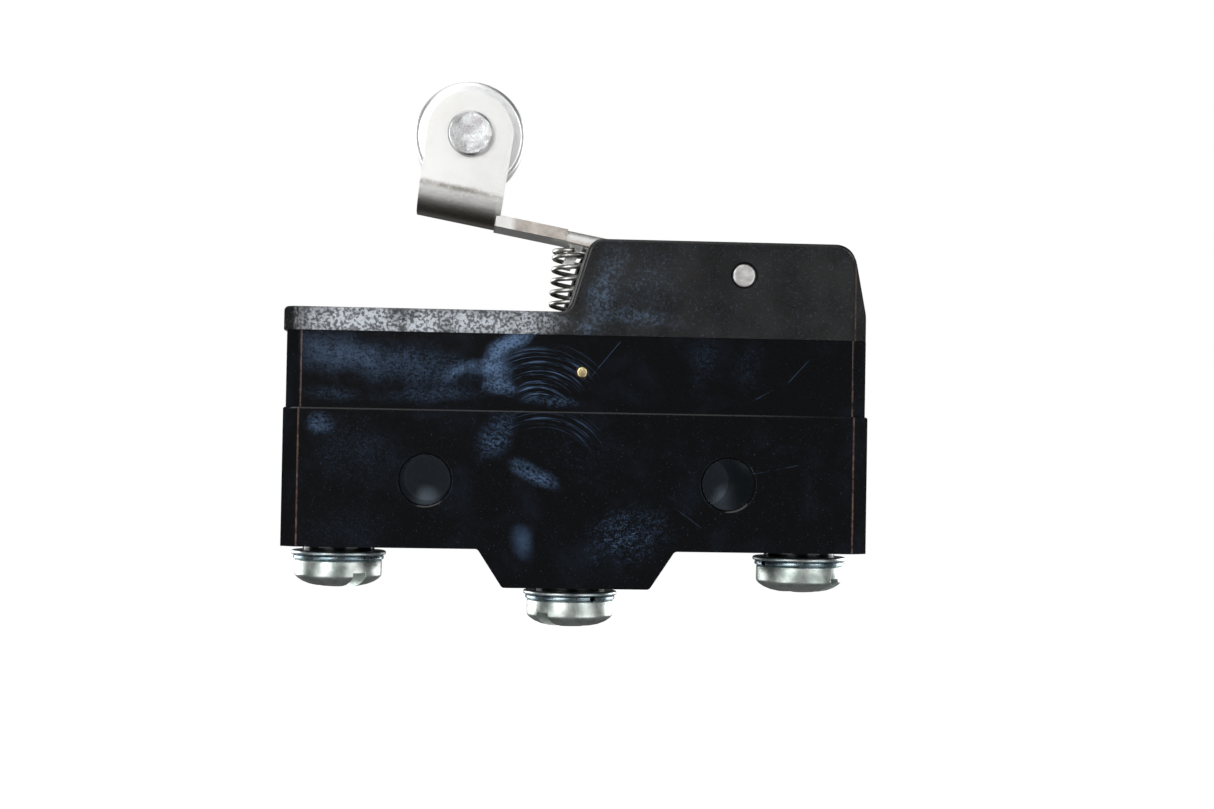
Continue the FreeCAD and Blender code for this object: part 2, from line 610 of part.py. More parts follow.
def return_spring():
    """A coil spring from its seat in the ledge to the underside of the lever's web."""
    round_wire = SPRING_WIRE / 2
    radius = SPRING_DIAMETER / 2 - round_wire
    seat = LEDGE_TOP - SPRING_SINK + SPRING_SEAT_GAP + round_wire
    right_side = SPRING_X + radius
    web = PIVOT.z + WEB_OVER_PIVOT / math.cos(SLOPE) + (PIVOT.x - right_side) * math.tan(SLOPE)
    height = web - SPRING_SEAT_GAP - round_wire - seat + SPRING_PITCH / 4
    helix = Part.makeHelix(SPRING_PITCH, height, radius)
    turns = [2 * math.pi * i / SPRING_WIRE_SIDES for i in range(SPRING_WIRE_SIDES + 1)]
    points = [Vector(radius + round_wire * math.cos(t), 0, round_wire * math.sin(t)) for t in turns]
    coil = Part.Wire(helix).makePipeShell([Part.makePolygon(points)], True, True)
    last_turn = 360 * height / SPRING_PITCH
    coil.rotate(Vector(0, 0, 0), Vector(0, 0, 1), 180 - last_turn)
    coil.rotate(Vector(0, 0, 0), Vector(0, 1, 0), SPRING_LEAN)
    coil.translate(Vector(SPRING_X, 0, seat))
    return coil


def plunger():
    """The plunger stands on the blade and has a domed top, which the lever's tail holds down."""
    tail_z = PIVOT.z + WEB_OVER_PIVOT / math.cos(SLOPE) - (PLUNGER_X - PIVOT.x) * math.tan(SLOPE)
    centre = Vector(PLUNGER_X, 0, tail_z - (PLUNGER_DOME + TOUCH) / math.cos(SLOPE))
    shoulder_top = ROOF - PLUNGER_TRAVEL - TOUCH
    shoulder_bottom = shoulder_top - PLUNGER_SHOULDER_HEIGHT
    rod = post(PLUNGER_DIAMETER, PLUNGER_X, 0, shoulder_bottom, centre.z + PLUNGER_DOME)
    dome = Part.makeSphere(PLUNGER_DOME, centre)
    rod = rod.common(dome.fuse(post(PLUNGER_SHOULDER, PLUNGER_X, 0, shoulder_bottom, centre.z)))
    shoulder = post(PLUNGER_SHOULDER, PLUNGER_X, 0, shoulder_bottom, shoulder_top)
    lean = PLUNGER_FOOT / 2 * math.tan(BLADE_SWING)
    blade_top = blade_height(PLUNGER_X) + BLADE_THICKNESS / 2 / math.cos(BLADE_SWING)
    foot = post(PLUNGER_FOOT, PLUNGER_X, 0, blade_top + lean + TOUCH, shoulder_bottom)
    return rod.fuse([shoulder, foot])


def blade_height(x):
    """The middle of the lowered blade at x."""
    return BLADE_PIVOT.z - (BLADE_PIVOT.x - x) * math.tan(BLADE_SWING)


def lower_blade(shape):
    """Turns a shape drawn level round the blade's pivot, and sets it in its lowered place."""
    shape.rotate(Vector(0, 0, 0), Vector(0, 1, 0), -math.degrees(BLADE_SWING))
    shape.translate(BLADE_PIVOT)
    return shape


STEM_DIAMETER = CONTACT_DIAMETER * CONTACT_STEM_SHARE
WINDOW_LEFT = CONTACT_X + CONTACT_DIAMETER / 2 + WINDOW_PAST_CONTACT


def contact_blade():
    """The moving blade, with a window between its two legs and its end narrowed to fit the notch."""
    end = BLADE_PIVOT.x
    half = BLADE_WIDTH / 2
    tip = CONTACT_X - CONTACT_DIAMETER / 2 - BLADE_TIP
    flat = box(tip - end, 0, -half, half, -BLADE_THICKNESS / 2, BLADE_THICKNESS / 2)
    round_end = cross_pin(BLADE_THICKNESS, 0, 0, -half, half)
    inner = half - BLADE_LEG
    window = box(WINDOW_LEFT - end, PLUNGER_X - PLUNGER_FOOT - end, -inner, inner, -OVERCUT, OVERCUT)
    seat = hole(STEM_DIAMETER + 2 * FIT, CONTACT_X - end, 0, 0, 0)
    blade = flat.fuse(round_end).cut(window).cut(seat)
    for side in (-1, 1):
        y0, y1 = band(STRIP_WIDTH / 2 - LOOSE, half + OVERCUT, side)
        blade = blade.cut(box(-BLADE_NECK, OVERCUT, y0, y1, -OVERCUT, OVERCUT))
    return lower_blade(blade)


def contact_button(z0, z1):
    """A turned contact along Z with bevelled rims."""
    disc = post(CONTACT_DIAMETER, 0, 0, z0, z1)
    rims = [e for e in disc.Edges if e.BoundBox.ZLength < 1e-5]
    return disc.makeChamfer(CONTACT_BEVEL, rims)


def moving_contact():
    half = BLADE_THICKNESS / 2
    lower = contact_button(-half - CONTACT_HEIGHT, -half)
    upper = contact_button(half, half + CONTACT_HEIGHT)
    solid = post(STEM_DIAMETER, 0, 0, -half - CONTACT_BEVEL, half + CONTACT_BEVEL).fuse([lower, upper])
    solid.translate(Vector(CONTACT_X - BLADE_PIVOT.x, 0, 0))
    return lower_blade(solid)


def fixed_contact(face_z, back_z, strip_far):
    """A rivet contact with its face at face_z, its back on a strip and a stem through the strip."""
    disc = post(CONTACT_DIAMETER, CONTACT_X, 0, *sorted((face_z, back_z)))
    stem = post(STEM_DIAMETER, CONTACT_X, 0, *sorted((back_z, strip_far)))
    return disc.fuse(stem)


def contact_strip(x0, x1, z):
    """A terminal's flat strip from x0 to x1, on height z, with the hole for a fixed contact's stem."""
    strip = box(x0, x1, -STRIP_WIDTH / 2, STRIP_WIDTH / 2, z, z + STRIP)
    return strip.cut(hole(STEM_DIAMETER + 2 * FIT, CONTACT_X, 0, z, z + STRIP))


def normally_open_terminal():
    root = terminal_root("middle", NO_STRIP_TOP)
    strip = contact_strip(CONTACT_X - STRIP_WIDTH / 2, -RISER_OFFSET, CHAMBER_FLOOR)
    return threaded(root.fuse(strip), "middle")


def normally_closed_terminal():
    root = terminal_root("left", NC_STRIP_BOTTOM + STRIP)
    strip = contact_strip(-TERMINAL_X - RISER_OFFSET, CONTACT_X + STRIP_WIDTH / 2, NC_STRIP_BOTTOM)
    return threaded(root.fuse(strip), "left")


SNAP_POST_TOP = NO_STRIP_TOP + SNAP_POST_HEIGHT


def common_terminal():
    """The terminal that carries the blade in a notch of its riser, and the snap spring on a post."""
    root = terminal_root("right", BLADE_PIVOT.z + NOTCH_MOUTH)
    half = STRIP_WIDTH / 2
    floor = box(SNAP_POST_X, RISER_RIGHT + STRIP / 2, -half, half, CHAMBER_FLOOR, NO_STRIP_TOP)
    half_post = SNAP_POST_WIDTH / 2
    upright = box(SNAP_POST_X, SNAP_POST_X + STRIP, -half_post, half_post, CHAMBER_FLOOR, SNAP_POST_TOP)
    solid = threaded(root.fuse([floor, upright]), "right")
    deep = BLADE_PIVOT.x + NOTCH_PAST_PIVOT
    notch = slab([
        (RISER_RIGHT - LOOSE, BLADE_PIVOT.z - NOTCH_MOUTH / 2, 0),
        (RISER_RIGHT - LOOSE, BLADE_PIVOT.z + NOTCH_MOUTH / 2, 0),
        (deep, BLADE_PIVOT.z + BLADE_THICKNESS / 2, 0), (deep, BLADE_PIVOT.z - BLADE_THICKNESS / 2, 0),
    ], -half - OVERCUT, half + OVERCUT)
    return solid.cut(notch)


def snap_spring():
    """A bowed strip from the common terminal's post to the far edge of the blade's window."""
    reach = BLADE_PIVOT.x - WINDOW_LEFT
    left = BLADE_PIVOT.x - reach * math.cos(BLADE_SWING) + BLADE_THICKNESS * math.sin(BLADE_SWING) + TOUCH
    start = Vector(left, 0, blade_height(left))
    end = Vector(SNAP_POST_X - TOUCH - SNAP_STRIP, 0, SNAP_POST_TOP - SNAP_STRIP * 2)
    middle = (start + end) * 0.5 + Vector(0, 0, SNAP_BOW)
    inner = Part.Arc(start, middle, end).toShape()
    centre = inner.Curve.Center
    outer_radius = inner.Curve.Radius + SNAP_STRIP
    spread = [centre + (point - centre).normalize() * outer_radius for point in (start, middle, end)]
    outer = Part.Arc(*spread).toShape()
    left_end = Part.LineSegment(start, spread[0]).toShape()
    right_end = Part.LineSegment(end, spread[2]).toShape()
    face = Part.Face(Part.Wire(Part.__sortEdges__([inner, right_end, outer, left_end])))
    half = SNAP_POST_WIDTH / 2
    face.translate(Vector(0, -half, 0))
    return face.extrude(Vector(0, 2 * half, 0))


def terminal_screw(place):
    """A pan-head screw with a slot and a cross, its head down and its shank in the terminal."""
    x, seat = TERMINALS[place][:2]
    head_top = seat - 2 * WASHER_THICKNESS
    side_bottom = head_top - HEAD_SIDE
    bottom = head_top - HEAD_HEIGHT
    rim = HEAD_DIAMETER / 2
    flat = HEAD_FLAT_DIAMETER / 2
    crown_drop = HEAD_HEIGHT - HEAD_SIDE
    profile = Part.makePolygon([
        Vector(0, 0, head_top), Vector(rim, 0, head_top), Vector(rim, 0, side_bottom),
        Vector(flat + (rim - flat) * HEAD_SHOULDER, 0, side_bottom - crown_drop * HEAD_SHOULDER),
        Vector(flat, 0, bottom), Vector(0, 0, bottom), Vector(0, 0, head_top),
    ])
    head = Part.Face(profile).revolve(Vector(0, 0, 0), Vector(0, 0, 1), 360)
    half = DRIVE_WIDTH / 2
    reach = rim + OVERCUT
    slot = box(-reach, reach, -half, half, bottom - OVERCUT, bottom + SLOT_DEPTH)
    cross = box(-half, half, -CROSS_LENGTH / 2, CROSS_LENGTH / 2, bottom - OVERCUT, bottom + CROSS_DEPTH)
    head = head.cut(slot).cut(cross)
    head.rotate(Vector(0, 0, 0), Vector(0, 0, 1), SCREW_ANGLES[place])
    head.translate(Vector(x, 0, 0))
    tip = seat + NECK_HEIGHT + PLATE_HEIGHT + SHANK_PAST_PLATE
    return head.fuse(post(THREAD_DIAMETER - 2 * RUNNING, x, 0, head_top - HEAD_SIDE / 2, tip))


def washer(place, diameter, top):
    x = TERMINALS[place][0]
    ring = post(diameter, x, 0, top - WASHER_THICKNESS, top)
    return ring.cut(hole(THREAD_DIAMETER + 2 * WASHER_PLAY, x, 0, top - WASHER_THICKNESS, top))


def build():
    nodes = {
        "case": case(),
        "cover": cover(),
        "lever_housing": lever_housing(),
        "pivot_pin": bevelled_pin(PIVOT_DIAMETER, PIVOT.x, PIVOT.z, HALF_DEPTH - TOUCH),
        "cover_pin": bevelled_pin(COVER_PIN_DIAMETER, COVER_PIN_X, COVER_PIN_Z, COVER_HALF_DEPTH),
        "lever": lever(),
        "roller": roller(),
        "roller_rivet": roller_rivet(),
        "return_spring": return_spring(),
        "plunger": plunger(),
        "contact_blade": contact_blade(),
        "moving_contact": moving_contact(),
        "snap_spring": snap_spring(),
        "common_terminal": common_terminal(),
        "normally_open_terminal": normally_open_terminal(),
        "normally_closed_terminal": normally_closed_terminal(),
        "normally_open_contact": fixed_contact(NO_CONTACT_TOP - CONTACT_LEAN, NO_STRIP_TOP, CHAMBER_FLOOR),
        "normally_closed_contact": fixed_contact(NC_CONTACT_BOTTOM, NC_STRIP_BOTTOM, ROOF),
    }
    for place in TERMINALS:
        seat = TERMINALS[place][1]
        nodes["terminal_screw_" + place] = terminal_screw(place)
        nodes["clamp_washer_" + place] = washer(place, CLAMP_WASHER_DIAMETER, seat)
        nodes["lock_washer_" + place] = washer(place, LOCK_WASHER_DIAMETER, seat - WASHER_THICKNESS)
    return nodes


def main():
    os.makedirs("parts", exist_ok=True)
    print("lever travel", LEVER_TRAVEL, "blade swing", round(math.degrees(BLADE_SWING), 3), "plunger travel",
          round(PLUNGER_TRAVEL, 4), "pivot", PIVOT, "blade pivot", BLADE_PIVOT)
    for name, shape in build().items():
        solid = shape.removeSplitter()
        if not solid.isValid() or len(solid.Solids) != 1:
            raise RuntimeError(name + " is not one sound solid")
        solid.Solids[0].exportStep("parts/" + name + ".step")


main()
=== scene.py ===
import math

import bmesh
import bpy
from mathutils import Matrix, Vector


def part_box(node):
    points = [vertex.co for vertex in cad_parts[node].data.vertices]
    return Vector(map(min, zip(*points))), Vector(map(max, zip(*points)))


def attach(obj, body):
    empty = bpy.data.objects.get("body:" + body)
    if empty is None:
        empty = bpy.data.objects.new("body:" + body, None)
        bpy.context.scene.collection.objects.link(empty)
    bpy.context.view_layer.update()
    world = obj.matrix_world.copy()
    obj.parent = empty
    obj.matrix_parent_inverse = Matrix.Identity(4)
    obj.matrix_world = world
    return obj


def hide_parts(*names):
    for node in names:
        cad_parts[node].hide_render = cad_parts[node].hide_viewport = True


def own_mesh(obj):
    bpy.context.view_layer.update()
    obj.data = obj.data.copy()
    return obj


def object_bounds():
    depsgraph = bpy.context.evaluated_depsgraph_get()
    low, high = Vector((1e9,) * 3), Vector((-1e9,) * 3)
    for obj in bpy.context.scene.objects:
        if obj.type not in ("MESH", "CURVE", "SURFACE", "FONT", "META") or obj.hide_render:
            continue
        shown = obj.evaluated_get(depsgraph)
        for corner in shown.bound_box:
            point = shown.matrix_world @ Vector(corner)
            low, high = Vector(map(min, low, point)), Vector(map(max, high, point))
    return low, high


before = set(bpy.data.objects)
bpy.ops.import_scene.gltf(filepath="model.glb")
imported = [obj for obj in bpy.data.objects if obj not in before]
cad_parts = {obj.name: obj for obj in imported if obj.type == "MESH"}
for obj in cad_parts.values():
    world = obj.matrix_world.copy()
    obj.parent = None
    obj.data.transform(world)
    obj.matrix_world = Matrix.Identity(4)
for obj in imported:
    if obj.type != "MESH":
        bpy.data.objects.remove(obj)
cad_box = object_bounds()
MM = 0.001

# Case: the lower moulding, compression moulded in glossy black phenolic, with two mounting holes.
# Its edges are slightly rounded, and handling has left smears, wiping arcs and fine scratches on it.
# The haze lies on the front face: partly a smear film and partly painted sheen of the light on the left.
# Each patch is x, z, half length and half height in millimetres, turn in degrees, grain, cover and
# strength.
# Each scratch is x, z, turn and length.
CASE_EDGE = 0.10 * MM
FRONT_Y = -8.3 * MM
FRONT_FADE = 0.2 * MM
PHENOLIC_BLACK = (0.0016, 0.0018, 0.0024, 1)
# The haze's blue is partly the smear film's own tint and partly painted sheen of the light on the left.
HAZE_AND_SHEEN_BLUE = (0.064, 0.120, 0.225, 1)
# Colour of the worn corner line: partly wear and partly a painted edge highlight.
WORN_EDGE_AND_HIGHLIGHT = (0.105, 0.062, 0.054, 1)
WORN_EDGE_AND_HIGHLIGHT_X = 23.25 * MM
SMEAR_STRENGTH = 0.045
DUST_STRENGTH = 0.15
GLOSS_ROUGHNESS = 0.11
FILM_ROUGHNESS = 0.30
CASE_HAZE_AND_SHEEN = (
    (-7.0, 3.5, 1.7, 2.6, 18, 3800, 0.42, 0.60),
    (-3.8, 0.6, 2.6, 0.9, 24, 3400, 0.40, 0.75),
    (4.3, -4.4, 4.0, 2.9, -18, 3400, 0.47, 0.70),
    (-4.6, -4.9, 1.2, 1.6, -20, 4600, 0.30, 0.30),
    (-21.6, 4.5, 1.5, 1.1, 0, 3600, 0.42, 0.60),
    (-18.5, 2.5, 5.0, 3.5, 12, 6200, 0.44, 0.14),
    (-19.0, -4.0, 5.0, 2.5, -8, 6200, 0.46, 0.10),
    (0.5, 2.0, 5.0, 3.0, 20, 3000, 0.50, 0.15),
    (9.0, -2.0, 3.0, 0.35, 38, 3600, 0.50, 0.20),
)
CASE_SCRATCHES = ((14.5, 0.9, -9, 6.0), (9.4, -2.9, 36, 3.0), (17.6, 1.5, -12, 3.0))
CASE_SCRATCH_STRENGTH = 0.13
CASE_ARC_CENTRE = (-3.0 * MM, 0, -0.1 * MM)
CASE_ARC_STRENGTH = 0.8


def shader_nodes(name, base, roughness, metallic=0.0):
    """A new material with its shader's own values set: gives it, its node tree, its shader and
    the object's coordinates."""
    material = bpy.data.materials.new(name)
    material.use_nodes = True
    shader = material.node_tree.nodes["Principled BSDF"]
    shader.inputs["Base Color"].default_value = base
    shader.inputs["Roughness"].default_value = roughness
    shader.inputs["Metallic"].default_value = metallic
    coordinates = material.node_tree.nodes.new("ShaderNodeTexCoord")
    return material, material.node_tree, shader, coordinates.outputs["Object"]


def feed(tree, socket, value):
    """Links a socket to another node's output, or sets it to a plain value."""
    if isinstance(value, bpy.types.NodeSocket):
        tree.links.new(value, socket)
    else:
        socket.default_value = value


def noise(tree, vector, scale, detail=4.0, roughness=0.5, distortion=0.0):
    node = tree.nodes.new("ShaderNodeTexNoise")
    feed(tree, node.inputs["Vector"], vector)
    feed(tree, node.inputs["Scale"], scale)
    node.inputs["Detail"].default_value = detail
    node.inputs["Roughness"].default_value = roughness
    node.inputs["Distortion"].default_value = distortion
    return node.outputs["Fac"]


def remap(tree, value, low, high, to_low=0.0, to_high=1.0, kind="SMOOTHSTEP"):
    node = tree.nodes.new("ShaderNodeMapRange")
    node.interpolation_type = kind
    limits = {"Value": value, "From Min": low, "From Max": high, "To Min": to_low, "To Max": to_high}
    for label, given in limits.items():
        feed(tree, node.inputs[label], given)
    return node.outputs["Result"]


def calc(tree, operation, *values):
    """The values taken in turn through one arithmetic operation."""
    total = values[0]
    for value in values[1:]:
        node = tree.nodes.new("ShaderNodeMath")
        node.operation = operation
        feed(tree, node.inputs[0], total)
        feed(tree, node.inputs[1], value)
        total = node.outputs[0]
    return total


def blend_colours(tree, share, first, second):
    node = tree.nodes.new("ShaderNodeMix")
    node.data_type = "RGBA"
    feed(tree, node.inputs[0], share)
    feed(tree, node.inputs[6], first)
    feed(tree, node.inputs[7], second)
    return node.outputs[2]


def turned(tree, vector, place, turn, reach):
    """Coordinates centred on a place, turned about Y and divided by a reach."""
    node = tree.nodes.new("ShaderNodeMapping")
    node.vector_type = "TEXTURE"
    feed(tree, node.inputs["Vector"], vector)
    feed(tree, node.inputs["Location"], place)
    feed(tree, node.inputs["Rotation"], turn)
    feed(tree, node.inputs["Scale"], reach)
    return node.outputs["Vector"]


def parts_of(tree, vector):
    node = tree.nodes.new("ShaderNodeSeparateXYZ")
    feed(tree, node.inputs[0], vector)
    return node.outputs


def vector_of(tree, x, y, z):
    node = tree.nodes.new("ShaderNodeCombineXYZ")
    for socket, value in zip(node.inputs, (x, y, z)):
        feed(tree, socket, value)
    return node.outputs[0]


def distance_in(tree, x, z):
    """How far (x, z) lies from the centre."""
    squares = calc(tree, "ADD", calc(tree, "MULTIPLY", x, x), calc(tree, "MULTIPLY", z, z))
    return calc(tree, "POWER", squares, 0.5)


def new_group(name, inputs, outputs):
    """An empty shader node group with the named sockets, each input (name, kind, starting value)."""
    group = bpy.data.node_groups.new(name, "ShaderNodeTree")
    for label, kind, value in inputs:
        group.interface.new_socket(label, in_out="INPUT", socket_type=kind).default_value = value
    for label in outputs:
        group.interface.new_socket(label, in_out="OUTPUT", socket_type="NodeSocketFloat")
    given = group.nodes.new("NodeGroupInput").outputs
    result = group.nodes.new("NodeGroupOutput").inputs
    return group, given, result


def use_group(tree, group, values):
    """A group placed in a material, with its inputs linked or set by name."""
    node = tree.nodes.new("ShaderNodeGroup")
    node.node_tree = group
    for label, value in values.items():
        feed(tree, node.inputs[label], value)
    return node.outputs


def bump(tree, shader, height, strength, distance):
    node = tree.nodes.new("ShaderNodeBump")
    node.inputs["Strength"].default_value = strength
    node.inputs["Distance"].default_value = distance
    tree.links.new(height, node.inputs["Height"])
    tree.links.new(node.outputs["Normal"], shader.inputs["Normal"])


VECTOR = "NodeSocketVector"
NUMBER = "NodeSocketFloat"

# A patch of haze: a soft oval, broken up by streaky grain.
haze_patch, given, result = new_group("haze_patch", (
    ("Vector", VECTOR, (0, 0, 0)), ("Place", VECTOR, (0, 0, 0)), ("Turn", VECTOR, (0, 0, 0)),
    ("Reach", VECTOR, (MM, 1, MM)), ("Grain", NUMBER, 1000.0), ("Cover", NUMBER, 0.5),
), ("Mask",))
centred = turned(haze_patch, given["Vector"], given["Place"], given["Turn"], given["Reach"])
x, y, z = parts_of(haze_patch, centred)
oval = distance_in(haze_patch, x, z)
wobble = calc(haze_patch, "MULTIPLY", noise(haze_patch, given["Vector"], 330.0, 6.0, 0.65), 1.6)
soft = remap(haze_patch, calc(haze_patch, "ADD", oval, wobble), 0.75, 1.9, 1.0, 0.0)
along = turned(haze_patch, given["Vector"], (0, 0, 0), given["Turn"], (2.0, 1.0, 1.0))
streaks = calc(haze_patch, "MULTIPLY", noise(haze_patch, along, given["Grain"], 9.0, 0.8), 0.6)
dots = calc(haze_patch, "MULTIPLY", noise(haze_patch, given["Vector"], 5600.0, 3.0, 0.7), 0.4)
mixed = calc(haze_patch, "ADD", streaks, dots)
broken = remap(haze_patch, mixed, given["Cover"], calc(haze_patch, "ADD", given["Cover"], 0.22))
feed(haze_patch, result["Mask"], calc(haze_patch, "MULTIPLY", soft, broken))

# Wiping arcs: fine streaks that run round a centre, between two radii.
wiping_arcs, given, result = new_group("wiping_arcs", (
    ("Vector", VECTOR, (0, 0, 0)), ("Centre", VECTOR, (0, 0, 0)),
    ("Inner", NUMBER, MM), ("Outer", NUMBER, 5 * MM), ("From", NUMBER, 0.3), ("To", NUMBER, 3.0),
), ("Mask",))
away = turned(wiping_arcs, given["Vector"], given["Centre"], (0, 0, 0), (1, 1, 1))
x, y, z = parts_of(wiping_arcs, away)
radius = distance_in(wiping_arcs, x, z)
angle = calc(wiping_arcs, "ARCTAN2", z, x)
around = vector_of(wiping_arcs, calc(wiping_arcs, "MULTIPLY", radius, 3800.0),
                   calc(wiping_arcs, "MULTIPLY", angle, 0.7), 0.0)
lines = remap(wiping_arcs, noise(wiping_arcs, around, 1.0, 4.0, 0.75), 0.50, 0.74)
begins = remap(wiping_arcs, radius, given["Inner"], calc(wiping_arcs, "ADD", given["Inner"], 0.8 * MM))
last = calc(wiping_arcs, "SUBTRACT", given["Outer"], 1.6 * MM)
stops = remap(wiping_arcs, radius, last, given["Outer"], 1.0, 0.0)
right_end = remap(wiping_arcs, angle, given["From"], calc(wiping_arcs, "ADD", given["From"], 0.5))
left = calc(wiping_arcs, "SUBTRACT", given["To"], 0.5)
left_end = remap(wiping_arcs, angle, left, given["To"], 1.0, 0.0)
patchy = remap(wiping_arcs, noise(wiping_arcs, given["Vector"], 300.0, 2.0), 0.05, 0.50)
arcs = calc(wiping_arcs, "MULTIPLY", lines, begins, stops, right_end, left_end, patchy)
feed(wiping_arcs, result["Mask"], arcs)

# A straight scratch: a hair-thin line between two ends.
scratch, given, result = new_group("scratch", (
    ("Vector", VECTOR, (0, 0, 0)), ("Place", VECTOR, (0, 0, 0)),
    ("Turn", VECTOR, (0, 0, 0)), ("Length", NUMBER, MM),
), ("Mask",))
x, y, z = parts_of(scratch, turned(scratch, given["Vector"], given["Place"], given["Turn"], (1, 1, 1)))
thin = remap(scratch, calc(scratch, "ABSOLUTE", z, 0.0), 0.02 * MM, 0.055 * MM, 1.0, 0.0)
half = calc(scratch, "MULTIPLY", given["Length"], 0.5)
from_middle = calc(scratch, "ABSOLUTE", x, 0.0)
short = remap(scratch, from_middle, calc(scratch, "MULTIPLY", half, 0.6), half, 1.0, 0.0)
patchy = remap(scratch, noise(scratch, given["Vector"], 900.0), 0.36, 0.56)
feed(scratch, result["Mask"], calc(scratch, "MULTIPLY", thin, short, patchy))

# Moulding grain: the fine texture that a tool leaves, as a height and as a patchy share.
moulding_grain, given, result = new_group("moulding_grain", (
    ("Vector", VECTOR, (0, 0, 0)), ("Scale", NUMBER, 3000.0),
), ("Height", "Patches"))
feed(moulding_grain, result["Height"], noise(moulding_grain, given["Vector"], given["Scale"], 5.0, 0.65))
patches = noise(moulding_grain, given["Vector"], 240.0, 5.0, 0.6)
feed(moulding_grain, result["Patches"], remap(moulding_grain, patches, 0.3, 0.7))

# Worn corner line: the thin line where a face meets the cut corner beside it, partly rubbed wear and partly
# a painted edge highlight.
corner_wear_and_highlight, given, result = new_group("corner_wear_and_highlight", (
    ("Vector", VECTOR, (0, 0, 0)), ("Offset", NUMBER, WORN_EDGE_AND_HIGHLIGHT_X),
), ("Mask",))
x, y, z = parts_of(corner_wear_and_highlight, given["Vector"])
past = calc(corner_wear_and_highlight, "SUBTRACT", calc(corner_wear_and_highlight, "ABSOLUTE", x, 0.0), given["Offset"])
apart = calc(corner_wear_and_highlight, "ABSOLUTE", past, 0.0)
line = remap(corner_wear_and_highlight, apart, 0.03 * MM, 0.10 * MM, 1.0, 0.0)
broken = remap(corner_wear_and_highlight, noise(corner_wear_and_highlight, given["Vector"], 1500.0, 5.0, 0.75), 0.34, 0.66, 0.1, 1.0)
outer = remap(corner_wear_and_highlight, calc(corner_wear_and_highlight, "ABSOLUTE", y, 0.0), 8.2 * MM, 8.5 * MM)
feed(corner_wear_and_highlight, result["Mask"], calc(corner_wear_and_highlight, "MULTIPLY", line, broken, outer))


def haze_and_sheen_over(tree, place, patches):
    """All of a moulding's haze patches, partly painted sheen, in one mask."""
    total = 0.0
    for x, z, half_length, half_height, turn, grain, cover, strength in patches:
        patch = use_group(tree, haze_patch, {
            "Vector": place, "Place": (x * MM, 0, z * MM), "Turn": (0, math.radians(turn), 0),
            "Reach": (half_length * MM, 1, half_height * MM), "Grain": grain, "Cover": cover,
        })
        total = calc(tree, "ADD", total, calc(tree, "MULTIPLY", patch["Mask"], strength))
    return total


def scratches_over(tree, place, total, marks, strength):
    """The mask with a moulding's scratches added to it."""
    for x, z, turn, length in marks:
        mark = use_group(tree, scratch, {
            "Vector": place, "Place": (x * MM, 0, z * MM), "Turn": (0, math.radians(turn), 0),
            "Length": length * MM,
        })
        total = calc(tree, "ADD", total, calc(tree, "MULTIPLY", mark["Mask"], strength))
    return total


def kept_to_front(tree, place, mask):
    """The mask on the front face only."""
    front = remap(tree, parts_of(tree, place)[1], FRONT_Y - FRONT_FADE, FRONT_Y, 1.0, 0.0)
    return calc(tree, "MULTIPLY", mask, front)


def phenolic_finish(tree, shader, place, haze_and_sheen, worn_and_highlight_x, black):
    """Haze with painted sheen over glossy black, with faint smears everywhere, fine grain and worn corner
    lines that are partly a painted edge highlight.
    """
    smears = remap(tree, noise(tree, place, 260.0, 8.0, 0.65, 0.4), 0.47, 0.85, 0.0, SMEAR_STRENGTH)
    dust_and_sheen = remap(tree, noise(tree, place, 6500.0, 2.0), 0.66, 0.76, 0.0, DUST_STRENGTH)
    film = calc(tree, "MINIMUM", calc(tree, "ADD", haze_and_sheen, smears, dust_and_sheen), 1.0)
    grain = use_group(tree, moulding_grain, {"Vector": place, "Scale": 3600.0})
    wear_and_highlight = use_group(tree, corner_wear_and_highlight, {"Vector": place, "Offset": worn_and_highlight_x})["Mask"]
    # The film's blue is partly painted sheen; the corner line's colour is partly a painted edge highlight.
    colour = blend_colours(tree, film, black, HAZE_AND_SHEEN_BLUE)
    feed(tree, shader.inputs["Base Color"], blend_colours(tree, wear_and_highlight, colour, WORN_EDGE_AND_HIGHLIGHT))
    fine = remap(tree, grain["Height"], 0.3, 0.7, 0.0, 0.05)
    dulled = calc(tree, "MULTIPLY", film, FILM_ROUGHNESS)
    feed(tree, shader.inputs["Roughness"], calc(tree, "ADD", dulled, fine, GLOSS_ROUGHNESS))
    shader.inputs["Specular IOR Level"].default_value = 0.4
    bump(tree, shader, grain["Height"], 0.22, 0.010 * MM)


def rounded_copy(node, name, width, segments=3, angle=30.0):
    """A copy of a CAD node with its triangles joined and its sharp edges rounded."""
    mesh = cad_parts[node].data.copy()
    piece = bpy.data.objects.new(name, mesh)
    bpy.context.scene.collection.objects.link(piece)
    shape = bmesh.new()
    shape.from_mesh(mesh)
    bmesh.ops.remove_doubles(shape, verts=shape.verts, dist=1e-6)
    bmesh.ops.dissolve_limit(shape, angle_limit=math.radians(0.4), verts=shape.verts, edges=shape.edges)
    for face in shape.faces:
        face.smooth = True
    shape.to_mesh(mesh)
    shape.free()
    mesh.materials.clear()
    round_edges(piece, width, segments, angle)
    return piece


def round_edges(piece, width, segments, angle):
    rounding = piece.modifiers.new("rounded_edges", "BEVEL")
    rounding.width = width
    rounding.segments = segments
    rounding.limit_method = "ANGLE"
    rounding.angle_limit = math.radians(angle)
    rounding.use_clamp_overlap = True
    flat_faces = piece.modifiers.new("flat_faces", "WEIGHTED_NORMAL")
    flat_faces.weight = 100
    flat_faces.keep_sharp = True


def dress(piece, material, body, slot, *nodes):
    """Gives a finished piece its material and its body, and hides the CAD nodes that it stands for. The
    slot is not used.
    """
    piece.data.materials.append(material)
    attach(piece, body)
    if nodes:
        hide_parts(*nodes)


